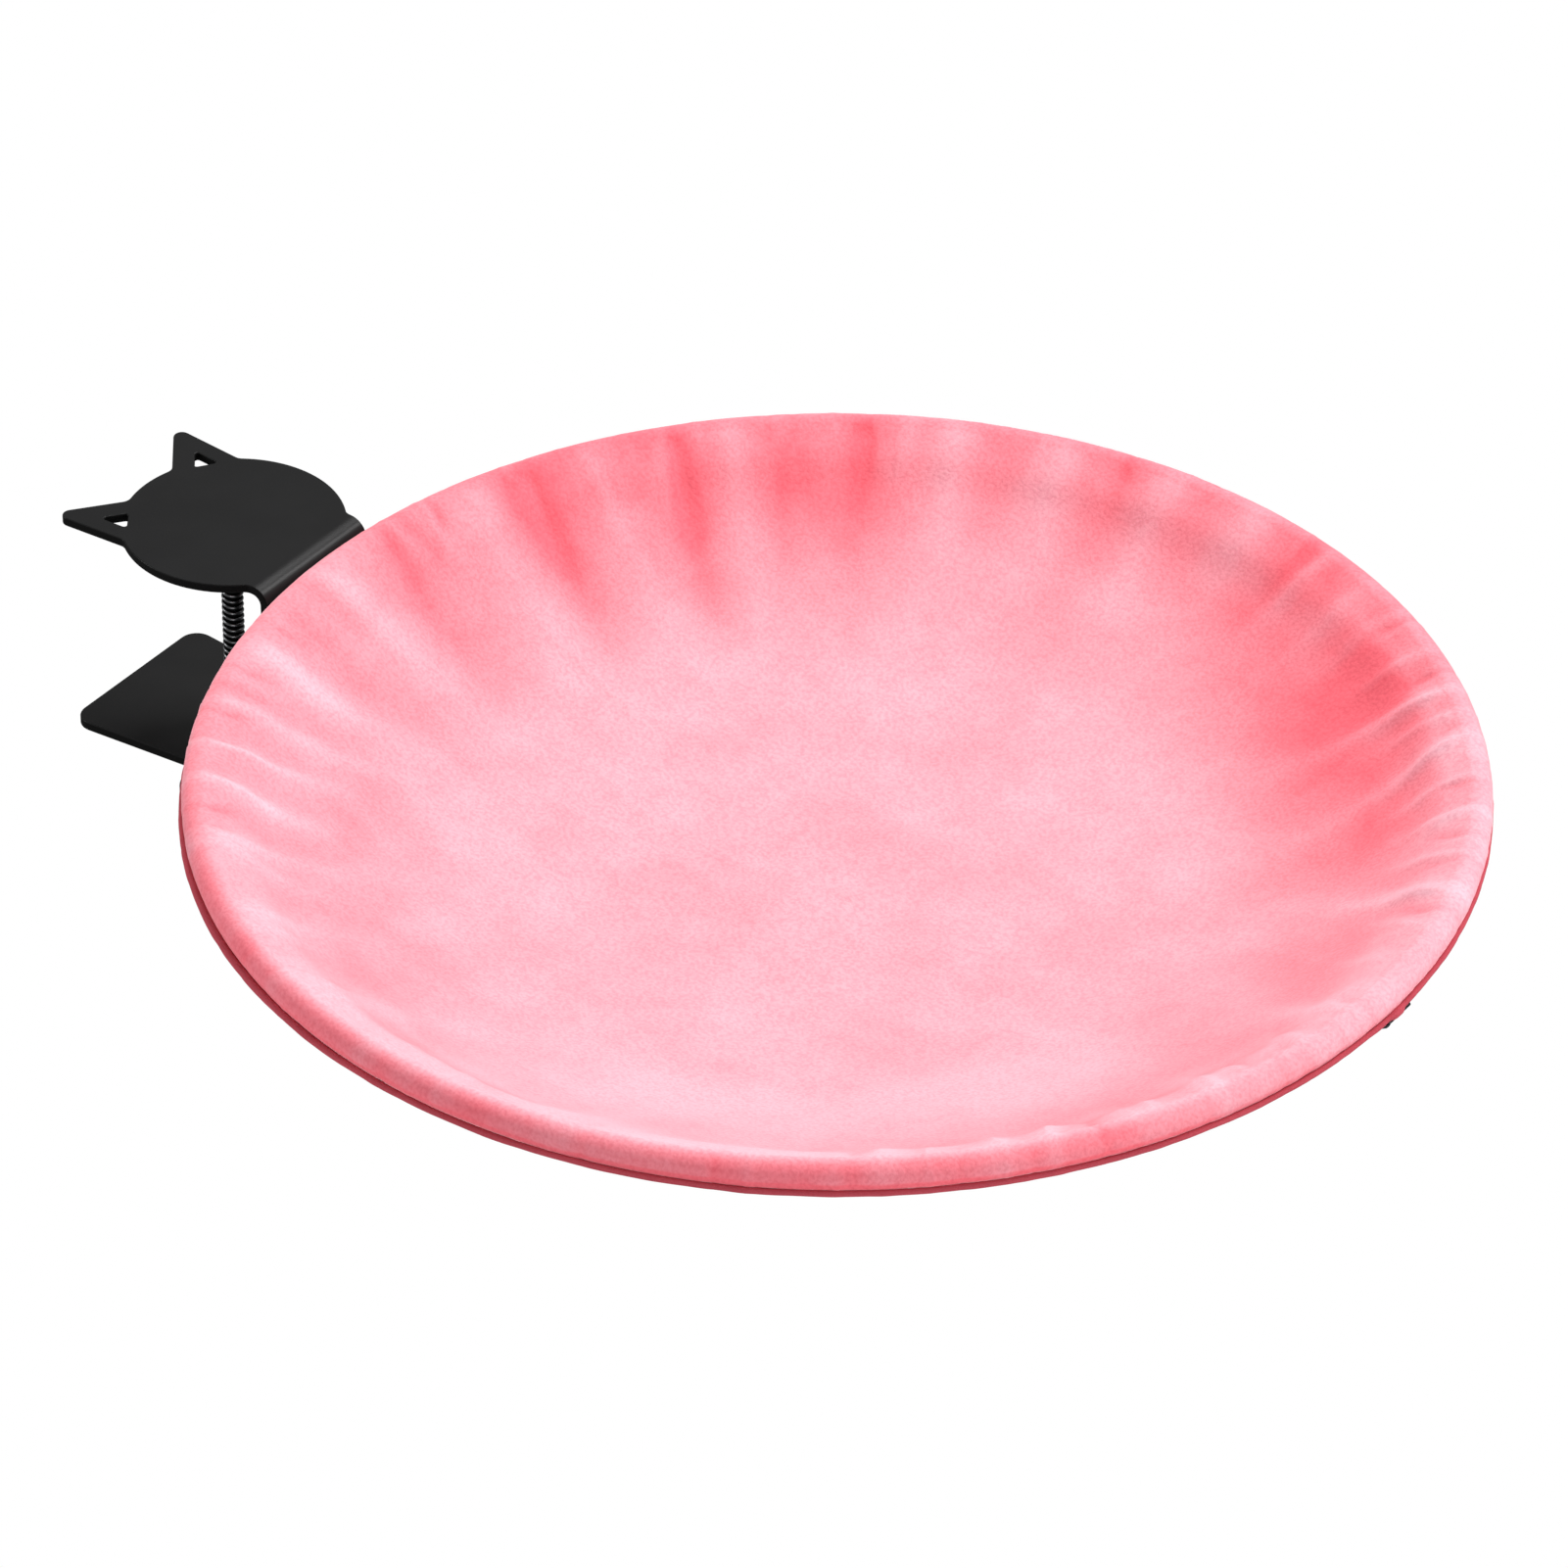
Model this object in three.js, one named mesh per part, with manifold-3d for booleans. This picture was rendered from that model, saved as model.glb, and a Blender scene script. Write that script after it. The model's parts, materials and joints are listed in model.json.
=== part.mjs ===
// A round fabric hammock for a cat, held on the edge of a desk by a screw clamp.
//
// Frame, in millimetres: the clamp screw turns on the Z axis, the desk's top touches the clamp's top pad at
// z = 0, +X leads away from the desk through the middle of the hoop, and +Y runs along the desk's edge.
//
// The hardest shapes are the clamp bracket, one laser-cut strip with a cat's face that is bent twice into
// a C, and the cover, a two-layer bag that wraps the hoop, gathers into the bowl and closes with a zip.

import * as THREE from 'three';
import { mergeVertices } from 'three/addons/utils/BufferGeometryUtils.js';
import Module from 'manifold-3d';

const wasm = await Module();
wasm.setup();

const DEGREE = Math.PI / 180;

// Clearances
const SEAT_GAP = 0.3;            // between two pieces that touch
const CUT_OVERRUN = 1;           // how far a cut runs past the face that it opens
const SAME_CORNER = 1e-3;        // corners nearer than this are one

// Clamp bracket: steel plate, cut to shape and bent twice
const PLATE_THICKNESS = 3.5;
const BEND_INSIDE_RADIUS = 3.5;
const THROAT_REACH = 36.2;       // screw axis to the inner face of the upright web
const THROAT_HEIGHT = 81;        // desk's top to the upper face of the lower arm
const WEB_WIDTH = 56;
const FACE_RADIUS = 40.1;        // the cat's face, a disc
const FACE_FORWARD = 1.8;        // from the screw axis to the middle of that disc
const FACE_FILLET = 4;           // between the disc and the edges that leave it
const EAR_TIP_X = 55.6;          // behind the face's middle, before the tip is rounded
const EAR_TIP_Y = 34.5;
const EAR_TIP_RADIUS = 3;
const EAR_OUTER_ANGLE = 4.1 * DEGREE;
const EAR_INNER_ANGLE = 52 * DEGREE;
const EAR_HOLE_OUTER_WALL = 6.8;
const EAR_HOLE_INNER_WALL = 7.9;
const EAR_HOLE_SETBACK = 2.5;    // how far the hole reaches inside the face's circle
const EAR_HOLE_CORNER = 1;
const ARM_REACH = 48.1;          // screw axis to the free end of the lower arm
const ARM_FLARE_ANGLE = 4.9 * DEGREE;
const ARM_CORNER_RADIUS = 6.7;

// Pads
const TOP_PAD_THICKNESS = 1.5;
const TOP_PAD_INSET = 3;         // from the face's circle

// Clamp screw, its nut and its knob
const SCREW_DIAMETER = 8;
const SCREW_CHAMFER = 1;
const NUT_ACROSS_FLATS = 13;
const NUT_HEIGHT = 6.5;
const WELD_NUT_ACROSS_FLATS = 14;
const WELD_NUT_HEIGHT = 6.5;
const JAW_OPENING = 9;           // between the two pads, as the clamp is shown
const JAW_CLOSING_LEFT = 7;      // how far the foot can still rise
const KNOB_DIAMETER = 45;
const KNOB_LOBES = 6;
const KNOB_LOBE_DEPTH = 3;
const KNOB_HEIGHT = 17;
const KNOB_EDGE = 1.5;
const KNOB_HUB_DIAMETER = 20;
const KNOB_HUB_HEIGHT = 5;
const KNOB_HUB_DRAFT = 1;
const KNOB_FLOOR = 4;            // plastic left under the end of the screw

// Swivel foot
const FOOT_DIAMETER = 32;
const FOOT_THICKNESS = 2;
const FOOT_EDGE = 0.6;
const FOOT_PAD_THICKNESS = 2.3;
const FOOT_PAD_INSET = 0.5;
const FOOT_PAD_RECESS_DIAMETER = 13;
const FOOT_PAD_GROOVE_WIDTH = 1.2;
const FOOT_PAD_GROOVE_DEPTH = 0.6;
const FOOT_PAD_GROOVE_SHARES = [0.4, 0.75];   // of the way from the recess to the rim
const SWIVEL_PIN_DIAMETER = 5.4;
const SWIVEL_PIN_BELOW_PAD = 0.8;
const CLIP_GROOVE_DIAMETER = 4.2;
const CLIP_THICKNESS = 0.8;
const CLIP_DIAMETER = 10;
const CLIP_MOUTH_ANGLE = 50 * DEGREE;

// Hoop and the angle bracket that carries it
const HOOP_OUTSIDE_DIAMETER = 450;   // over the cover and its piping
const HOOP_ROD_DIAMETER = 8;
const HOOP_BELOW_PLATE_TOP = 0.5;      // the hoop's plane under the top face of the clamp
const HOOP_STANDOFF = 2.5;           // from the web's outer face to the covered hoop
const MOUNT_THICKNESS = 3;
const MOUNT_WIDTH = 44;
const MOUNT_HEIGHT = 44;
const MOUNT_PAST_ROD = 1.2;          // how far its shelf runs past the hoop's rod
const MOUNT_CORNER_RADIUS = 5;
const BOLT_DIAMETER = 6;
const BOLT_HEAD_DIAMETER = 11.4;
const BOLT_HEAD_ANGLE = 45 * DEGREE;
const BOLT_SPACING = 26;
const BOLT_DROP = 23;                // from the shelf down to the bolts
const BOLT_PAST_NUT = 1.5;
const BOLT_NUT_ACROSS_FLATS = 10;
const BOLT_NUT_HEIGHT = 5.6;
const WASHER_DIAMETER = 12.5;
const WASHER_THICKNESS = 1.6;
const HEX_KEY_ACROSS_FLATS = 4;
const HEX_KEY_DEPTH = 2;

// Cover: a velvet top and a lining, sewn together under the rim, with a sheet of wadding between them
const VELVET_THICKNESS = 1;
const WADDING_THICKNESS = 6;
const LINING_THICKNESS = 0.8;
const PIPING_DIAMETER = 3.2;
const VELVET_HEM_ANGLE = 25 * DEGREE;    // how far below the rod's middle the velvet ends
const BOWL_DEPTH = 56;                   // from where the velvet leaves the rod
const BOWL_RIM_SLOPE = 40 * DEGREE;
const BOWL_RING_SHARES = [1, 0.94, 0.85, 0.73, 0.58, 0.36, 0];   // of its radius; the wadding ends at the second
const MOUNT_SLIT_CLEARANCE = 1.5;
const FOLD_HEIGHT = 3;
const FOLD_START_SHARE = 0.45;           // of the bowl's radius, measured from the middle
const FOLD_CREST_SHARE = 1.6;            // above 1, the crests lie nearer to the rim
const FOLD_COUNTS = [13, 8, 5];
const FOLD_TURNS = [0.18, 0.41, 0.77];   // each wave's start, in turns
const FOLD_HEIGHT_SHARES = [0.5, 0.3, 0.2];

// Zip
const ZIP_CLOSED_ANGLE = 2.4 * DEGREE;   // where its slider is parked, seen from the hoop's middle
const ZIP_RUN_ANGLE = 156 * DEGREE;      // how far the slider can go from there
const ZIP_SETBACK = 4.3;                 // from the lining's edge to the middle of the chain
const ZIP_CHAIN_WIDTH = 4;
const ZIP_CHAIN_THICKNESS = 1.8;
const ZIP_TAPE_WIDTH = 5;                 // of the inner tape; the outer one ends at the piping
const ZIP_TAPE_THICKNESS = 0.6;
const ZIP_STOP_LENGTH = 2;
const ZIP_STOP_OVERHANG = 0.4;           // how far a stop stands out round the chain
const SLIDER_LENGTH = 10;
const SLIDER_WALL = 0.8;
const SLIDER_PLATE = 1.2;
const SLIDER_CLEARANCE = 0.5;
const SLIDER_TAPER = 0.5;
const SLIDER_CORNER = 1.2;
const BRIDGE_WIDTH = 1.6;
const BRIDGE_LENGTH = 5.2;
const BRIDGE_WALL = 0.8;
const BRIDGE_OPENING_HEIGHT = 1.5;
const PULL_LENGTH = 14;
const PULL_WIDTH = 5;
const PULL_THICKNESS = 0.8;
const PULL_BAR = 0.8;
const PULL_WINDOW_LENGTH = 2.8;
const PULL_WINDOW_WIDTH = 2.6;
const PULL_CORNER = 1.6;
const PULL_GRIP_HOLE_DIAMETER = 2;

// Numbers of facets
const RING_STEPS = 60;
const ROD_SIDES = 8;
const PIPING_SIDES = 8;
const ROUND_SIDES = 32;
const SMALL_ROUND_SIDES = 18;
const ARC_STEPS = 4;
const FACE_ARC_PARTS = 3;   // each drawn with twice as many facets as ARC_STEPS
const WRAP_STEPS = 4;
const KNOB_OUTLINE_STEPS = 60;

// Places that follow from the sizes above
const plateTop = TOP_PAD_THICKNESS + PLATE_THICKNESS;
const webOuterX = THROAT_REACH + PLATE_THICKNESS;
const bendStartX = THROAT_REACH - BEND_INSIDE_RADIUS;
const armTop = -THROAT_HEIGHT;
const armBottom = armTop - PLATE_THICKNESS;
const screwRadius = SCREW_DIAMETER / 2;

const rodRadius = HOOP_ROD_DIAMETER / 2;
const velvetInside = rodRadius + SEAT_GAP;
const velvetOutside = velvetInside + VELVET_THICKNESS;
const pipingRadius = PIPING_DIAMETER / 2;
const hoopRadius = HOOP_OUTSIDE_DIAMETER / 2 - pipingRadius - velvetOutside;
const hoopPlane = plateTop - HOOP_BELOW_PLATE_TOP;
const hoopCentreX = webOuterX + HOOP_STANDOFF + HOOP_OUTSIDE_DIAMETER / 2;

// Turns a three.js geometry into one closed skin: positions only, shared corners merged, faces outward.
function closedSkin(geometry) {
  const bare = new THREE.BufferGeometry();
  bare.setAttribute('position', geometry.getAttribute('position').clone());
  if (geometry.index) bare.setIndex(geometry.index.clone());
  const merged = mergeVertices(bare, SAME_CORNER);
  const index = merged.index.array;
  const at = merged.getAttribute('position');
  const corners = [new THREE.Vector3(), new THREE.Vector3(), new THREE.Vector3()];
  const kept = [];
  let volume = 0;
  for (let i = 0; i < index.length; i += 3) {
    const [a, b, c] = [index[i], index[i + 1], index[i + 2]];
    if (a === b || b === c || c === a) continue;
    kept.push(a, b, c);
    corners.forEach((corner, k) => corner.fromBufferAttribute(at, [a, b, c][k]));
    volume += corners[0].dot(corners[1].clone().cross(corners[2]));
  }
  if (volume < 0) {
    for (let i = 0; i < kept.length; i += 3) [kept[i], kept[i + 1]] = [kept[i + 1], kept[i]];
  }
  merged.setIndex(kept);
  return merged;
}

function toSolid(geometry) {
  const skin = closedSkin(geometry);
  return new wasm.Manifold(new wasm.Mesh({
    numProp: 3,
    vertProperties: new Float32Array(skin.getAttribute('position').array),
    triVerts: new Uint32Array(skin.index.array),
  }));
}

function toGeometry(solid) {
  const mesh = solid.getMesh();
  const geometry = new THREE.BufferGeometry();
  geometry.setAttribute('position', new THREE.BufferAttribute(new Float32Array(mesh.vertProperties), 3));
  geometry.setIndex(new THREE.BufferAttribute(new Uint32Array(mesh.triVerts), 1));
  return closedSkin(geometry);
}

function join(...geometries) {
  return toGeometry(geometries.map(toSolid).reduce((all, next) => all.add(next)));
}

function cut(base, ...tools) {
  return toGeometry(tools.map(toSolid).reduce((left, tool) => left.subtract(tool), toSolid(base)));
}

function common(first, second) {
  return toGeometry(toSolid(first).intersect(toSolid(second)));
}

// A prism of a flat outline, from one height to another along Z.
function prism(shape, bottom, top) {
  const geometry = new THREE.ExtrudeGeometry(shape, {
    depth: top - bottom, bevelEnabled: false, curveSegments: ARC_STEPS,
  });
  return geometry.translate(0, 0, bottom);
}

// Lays a prism down so that its outline stands in Y and Z and its length runs along X.
function alongX(geometry) {
  return geometry.applyMatrix4(new THREE.Matrix4().makeBasis(
    new THREE.Vector3(0, 1, 0), new THREE.Vector3(0, 0, 1), new THREE.Vector3(1, 0, 0),
  ));
}

// A body turned about Z from a list of [radius, height].
function turned(profile, steps = ROUND_SIDES) {
  const points = profile.map(([radius, height]) => new THREE.Vector2(radius, height));
  return new THREE.LatheGeometry(points, steps).rotateX(Math.PI / 2);
}

// A turned body with a hole through it, so its profile closes on itself.
function turnedRing(profile, steps = ROUND_SIDES) {
  return turned([...profile, profile[0]], steps);
}

function box(low, high) {
  const size = high.map((value, axis) => value - low[axis]);
  return new THREE.BoxGeometry(...size).translate(...low.map((value, axis) => value + size[axis] / 2));
}

// An upright cylinder, or a hexagonal bar with a flat towards +X.
function cylinder(radius, bottom, top, sides = ROUND_SIDES) {
  const geometry = new THREE.CylinderGeometry(radius, radius, top - bottom, sides);
  return geometry.rotateX(Math.PI / 2).translate(0, 0, (top + bottom) / 2);
}

function hexBar(acrossFlats, bottom, top) {
  return cylinder(acrossFlats / 2 / Math.cos(30 * DEGREE), bottom, top, 6).rotateZ(30 * DEGREE);
}

// Continues a path to a rounded corner between two straight edges.
function roundCorner(path, before, corner, after, radius) {
  const back = before.clone().sub(corner).normalize();
  const on = after.clone().sub(corner).normalize();
  const half = back.angleTo(on) / 2;
  const centre = corner.clone().addScaledVector(back.clone().add(on).normalize(), radius / Math.sin(half));
  const start = corner.clone().addScaledVector(back, radius / Math.tan(half)).sub(centre);
  const end = corner.clone().addScaledVector(on, radius / Math.tan(half)).sub(centre);
  path.absarc(centre.x, centre.y, radius, start.angle(), end.angle(), start.cross(end) < 0);
}

function roundedPolygon(corners, radii, path = new THREE.Shape()) {
  corners.forEach((corner, i) => {
    const before = corners.at(i - 1);
    const after = corners[(i + 1) % corners.length];
    roundCorner(path, before, corner, after, Array.isArray(radii) ? radii[i] : radii);
  });
  path.closePath();
  return path;
}

function vec(x, y) {
  return new THREE.Vector2(x, y);
}

// Where two lines cross, each given by a point and a direction.
function crossing(p, d, q, e) {
  return p.clone().addScaledVector(d, q.clone().sub(p).cross(e) / d.cross(e));
}

// The concave fillet between the cat's face and a straight edge that leaves it. The edge is given by a point,
// its direction towards the face and the normal that points away from the metal.
function faceFillet(point, direction, normal) {
  const start = point.clone().addScaledVector(normal, FACE_FILLET);
  const reach = FACE_RADIUS + FACE_FILLET;
  const along = start.dot(direction);
  const run = -along - Math.sqrt(along * along - start.lengthSq() + reach * reach);
  const centre = start.clone().addScaledVector(direction, run);
  return {
    centre,
    onEdge: centre.clone().addScaledVector(normal, -FACE_FILLET),
    onFace: centre.clone().setLength(FACE_RADIUS),
    edgeAngle: normal.clone().negate().angle(),
    faceAngle: centre.clone().negate().angle(),
  };
}

// One ear, on the +Y side: its two straight edges, its root fillets and its triangular hole.
function ear() {
  const tip = vec(-EAR_TIP_X, EAR_TIP_Y);
  const outer = vec(Math.cos(EAR_OUTER_ANGLE), -Math.sin(EAR_OUTER_ANGLE));
  const inner = vec(Math.cos(EAR_INNER_ANGLE), -Math.sin(EAR_INNER_ANGLE));
  const outerNormal = vec(-outer.y, outer.x);
  const innerNormal = vec(inner.y, -inner.x);
  const outerRoot = faceFillet(tip, outer, outerNormal);
  const innerRoot = faceFillet(tip, inner, innerNormal);

  const outerWall = tip.clone().addScaledVector(outerNormal, -EAR_HOLE_OUTER_WALL);
  const innerWall = tip.clone().addScaledVector(innerNormal, -EAR_HOLE_INNER_WALL);
  const middle = outerRoot.onFace.clone().add(innerRoot.onFace).normalize();
  const base = middle.clone().multiplyScalar(FACE_RADIUS - EAR_HOLE_SETBACK);
  const across = vec(-middle.y, middle.x);
  const hole = [
    crossing(outerWall, outer, innerWall, inner),
    crossing(innerWall, inner, base, across),
    crossing(base, across, outerWall, outer),
  ];
  return { tip, outerRoot, innerRoot, hole };
}

function mirrored(point) {
  return vec(point.x, -point.y);
}

// The cat's face seen from above, about the middle of its disc: anticlockwise from the bend, with its ears
// pointing back over the desk.
function faceOutline() {
  const shape = new THREE.Shape();
  const { tip, outerRoot, innerRoot, hole } = ear();
  const halfWeb = WEB_WIDTH / 2;
  const bend = bendStartX - FACE_FORWARD;
  const flare = faceFillet(vec(bend, halfWeb), vec(-1, 0), vec(0, 1));
  const faceArc = (from, to) => {
    const start = from.angle();
    const part = THREE.MathUtils.euclideanModulo(to.angle() - start, 2 * Math.PI) / FACE_ARC_PARTS;
    for (let i = 0; i < FACE_ARC_PARTS; i += 1) {
      shape.absarc(0, 0, FACE_RADIUS, start + i * part, start + (i + 1) * part, false);
    }
  };
  const filletArc = (centre, from, to) => shape.absarc(centre.x, centre.y, FACE_FILLET, from, to, true);

  shape.moveTo(bend, -halfWeb);
  shape.lineTo(bend, halfWeb);
  filletArc(flare.centre, flare.edgeAngle, flare.faceAngle);
  faceArc(flare.onFace, outerRoot.onFace);
  filletArc(outerRoot.centre, outerRoot.faceAngle, outerRoot.edgeAngle);
  roundCorner(shape, outerRoot.onEdge, tip, innerRoot.onEdge, EAR_TIP_RADIUS);
  filletArc(innerRoot.centre, innerRoot.edgeAngle, innerRoot.faceAngle);
  faceArc(innerRoot.onFace, mirrored(innerRoot.onFace));
  const low = (root) => ({
    centre: mirrored(root.centre), edge: -root.edgeAngle, face: -root.faceAngle, onEdge: mirrored(root.onEdge),
  });
  const [lowInner, lowOuter, lowFlare] = [low(innerRoot), low(outerRoot), low(flare)];
  filletArc(lowInner.centre, lowInner.face, lowInner.edge);
  roundCorner(shape, lowInner.onEdge, mirrored(tip), lowOuter.onEdge, EAR_TIP_RADIUS);
  filletArc(lowOuter.centre, lowOuter.edge, lowOuter.face);
  faceArc(mirrored(outerRoot.onFace), mirrored(flare.onFace));
  filletArc(lowFlare.centre, lowFlare.face, lowFlare.edge);
  shape.closePath();

  shape.holes.push(roundedPolygon(hole, EAR_HOLE_CORNER, new THREE.Path()));
  shape.holes.push(roundedPolygon(hole.map(mirrored), EAR_HOLE_CORNER, new THREE.Path()));
  return shape;
}

// The lower arm widens from the web towards its free end.
function armOutline() {
  const halfWeb = WEB_WIDTH / 2;
  const halfEnd = halfWeb + (bendStartX + ARM_REACH) * Math.tan(ARM_FLARE_ANGLE);
  const corners = [
    vec(bendStartX, -halfWeb), vec(bendStartX, halfWeb), vec(-ARM_REACH, halfEnd), vec(-ARM_REACH, -halfEnd),
  ];
  const shape = new THREE.Shape();
  shape.moveTo(corners[0].x, corners[0].y);
  shape.lineTo(corners[1].x, corners[1].y);
  roundCorner(shape, corners[1], corners[2], corners[3], ARM_CORNER_RADIUS);
  roundCorner(shape, corners[2], corners[3], corners[0], ARM_CORNER_RADIUS);
  shape.closePath();
  return shape;
}

// The two bends and the upright web, as a section in X and Z that is drawn out along Y.
function bentWeb() {
  const outside = BEND_INSIDE_RADIUS + PLATE_THICKNESS;
  const start = bendStartX - PLATE_THICKNESS;
  const top = plateTop - outside;
  const bottom = armBottom + outside;
  const section = new THREE.Shape();
  section.moveTo(start, armBottom);
  section.lineTo(bendStartX, armBottom);
  section.absarc(bendStartX, bottom, outside, -90 * DEGREE, 0, false);
  section.absarc(bendStartX, top, outside, 0, 90 * DEGREE, false);
  section.lineTo(start, plateTop);
  section.lineTo(start, plateTop - PLATE_THICKNESS);
  section.absarc(bendStartX, top, BEND_INSIDE_RADIUS, 90 * DEGREE, 0, true);
  section.absarc(bendStartX, bottom, BEND_INSIDE_RADIUS, 0, -90 * DEGREE, true);
  section.lineTo(start, armTop);
  section.closePath();
  const halfWeb = WEB_WIDTH / 2;
  return prism(section, -halfWeb, halfWeb).rotateX(Math.PI / 2);
}

const shelfTop = hoopPlane - rodRadius - SEAT_GAP;
const boltHeight = shelfTop - BOLT_DROP;
const boltRadius = BOLT_DIAMETER / 2;
const boltHoleRadius = boltRadius + SEAT_GAP;
const boltHeadRadius = BOLT_HEAD_DIAMETER / 2;
const boltHeadHeight = (boltHeadRadius - boltRadius) / Math.tan(BOLT_HEAD_ANGLE);
const boltPlaces = { left: BOLT_SPACING / 2, right: -BOLT_SPACING / 2 };

// Lays a body that was turned about Z along X at one bolt, its foot on the web's inner face.
function atBolt(geometry, y) {
  return geometry.rotateY(Math.PI / 2).translate(THROAT_REACH, y, boltHeight);
}

function boltHole(y) {
  const mouth = boltHeadRadius + SEAT_GAP + CUT_OVERRUN * Math.tan(BOLT_HEAD_ANGLE);
  const neck = boltHoleRadius;
  const end = PLATE_THICKNESS + MOUNT_THICKNESS + CUT_OVERRUN;
  const hole = turned([
    [0, -CUT_OVERRUN], [mouth, -CUT_OVERRUN], [neck, (mouth - neck) / Math.tan(BOLT_HEAD_ANGLE) - CUT_OVERRUN],
    [neck, end], [0, end],
  ], SMALL_ROUND_SIDES);
  return atBolt(hole, y);
}

function clampBracket() {
  const face = prism(faceOutline(), TOP_PAD_THICKNESS, plateTop).translate(FACE_FORWARD, 0, 0);
  const arm = prism(armOutline(), armBottom, armTop);
  const screwHole = cylinder(screwRadius + SEAT_GAP, armBottom - CUT_OVERRUN, armTop + CUT_OVERRUN);
  return cut(join(face, bentWeb(), arm), screwHole, ...Object.values(boltPlaces).map(boltHole));
}

function topPad() {
  const radius = FACE_RADIUS - TOP_PAD_INSET;
  const chord = new THREE.Shape();
  const edge = bendStartX - FACE_FORWARD - TOP_PAD_INSET;
  const half = Math.acos(edge / radius);
  chord.absarc(0, 0, radius, half, 2 * Math.PI - half, false);
  chord.closePath();
  return prism(chord, 0, TOP_PAD_THICKNESS).translate(FACE_FORWARD, 0, 0);
}

// Nut with both its ends chamfered by a turned cone, and a bore.
function nut(acrossFlats, boreRadius, bottom, top) {
  const corner = acrossFlats / 2 / Math.cos(30 * DEGREE);
  const chamfer = corner - acrossFlats / 2;
  const envelope = turned([
    [0, bottom], [acrossFlats / 2, bottom], [corner, bottom + chamfer], [corner, top - chamfer],
    [acrossFlats / 2, top], [0, top],
  ], SMALL_ROUND_SIDES);
  const hexagon = common(hexBar(acrossFlats, bottom, top), envelope);
  return cut(hexagon, cylinder(boreRadius, bottom - CUT_OVERRUN, top + CUT_OVERRUN, SMALL_ROUND_SIDES));
}

const padTop = -JAW_OPENING;
const footTop = padTop - FOOT_PAD_THICKNESS;
const footBottom = footTop - FOOT_THICKNESS;
const weldNutBottom = armBottom - WELD_NUT_HEIGHT;
const knobTop = weldNutBottom - JAW_CLOSING_LEFT - SEAT_GAP - SCREW_CHAMFER;
const knobShoulder = knobTop - KNOB_HUB_HEIGHT;
const knobBottom = knobShoulder - KNOB_HEIGHT;
const screwEnd = knobBottom + KNOB_FLOOR;
const pinTop = padTop - SWIVEL_PIN_BELOW_PAD;
const clipBottom = footTop + SEAT_GAP;

// The screw stands on its shoulder under the foot and passes a turned pin through it.
function clampScrew() {
  const pin = SWIVEL_PIN_DIAMETER / 2;
  const groove = CLIP_GROOVE_DIAMETER / 2;
  const shoulder = footBottom - SEAT_GAP;
  const clipSpace = SEAT_GAP / 2;
  return turned([
    [0, screwEnd], [screwRadius - SCREW_CHAMFER, screwEnd], [screwRadius, screwEnd + SCREW_CHAMFER],
    [screwRadius, shoulder - SCREW_CHAMFER], [screwRadius - SCREW_CHAMFER / 2, shoulder], [pin, shoulder],
    [pin, clipBottom - clipSpace], [groove, clipBottom - clipSpace],
    [groove, clipBottom + CLIP_THICKNESS + clipSpace], [pin, clipBottom + CLIP_THICKNESS + clipSpace],
    [pin, pinTop], [0, pinTop],
  ], SMALL_ROUND_SIDES);
}

function pressureFoot() {
  const rim = FOOT_DIAMETER / 2;
  const bore = SWIVEL_PIN_DIAMETER / 2 + SEAT_GAP;
  return turnedRing([
    [bore, footBottom], [rim - FOOT_EDGE, footBottom], [rim, footBottom + FOOT_EDGE], [rim, footTop],
    [bore, footTop],
  ]);
}

// The rubber face of the foot has two grooves and a recess for the pin's head.
function footPad() {
  const rim = FOOT_DIAMETER / 2 - FOOT_PAD_INSET;
  const recess = FOOT_PAD_RECESS_DIAMETER / 2;
  const grooves = FOOT_PAD_GROOVE_SHARES.flatMap((share) => {
    const inside = recess + (rim - recess) * share - FOOT_PAD_GROOVE_WIDTH / 2;
    const outside = inside + FOOT_PAD_GROOVE_WIDTH;
    const floor = padTop - FOOT_PAD_GROOVE_DEPTH;
    return [[inside, padTop], [inside, floor], [outside, floor], [outside, padTop]];
  });
  return turnedRing([[rim, footTop], [recess, footTop], [recess, padTop], ...grooves, [rim, padTop]]);
}

// A snap ring, open on one side, in the groove of the screw's pin.
function footClip() {
  const inside = CLIP_GROOVE_DIAMETER / 2 + SEAT_GAP / 2;
  const outside = CLIP_DIAMETER / 2;
  const half = CLIP_MOUTH_ANGLE / 2;
  const shape = new THREE.Shape();
  shape.absarc(0, 0, outside, half, 2 * Math.PI - half, false);
  shape.absarc(0, 0, inside, 2 * Math.PI - half, half, true);
  shape.closePath();
  return new THREE.ExtrudeGeometry(shape, {
    depth: CLIP_THICKNESS, bevelEnabled: false, curveSegments: SMALL_ROUND_SIDES / 2,
  }).translate(0, 0, clipBottom);
}

// The knob's outline swells into lobes for the fingers.
function knobOutline() {
  const points = Array.from({ length: KNOB_OUTLINE_STEPS }, (_, i) => {
    const angle = (i / KNOB_OUTLINE_STEPS) * 2 * Math.PI;
    const valley = (1 - Math.cos(KNOB_LOBES * angle)) / 2;
    const radius = KNOB_DIAMETER / 2 - KNOB_LOBE_DEPTH * valley;
    return vec(radius * Math.cos(angle), radius * Math.sin(angle));
  });
  return new THREE.Shape(points);
}

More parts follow.
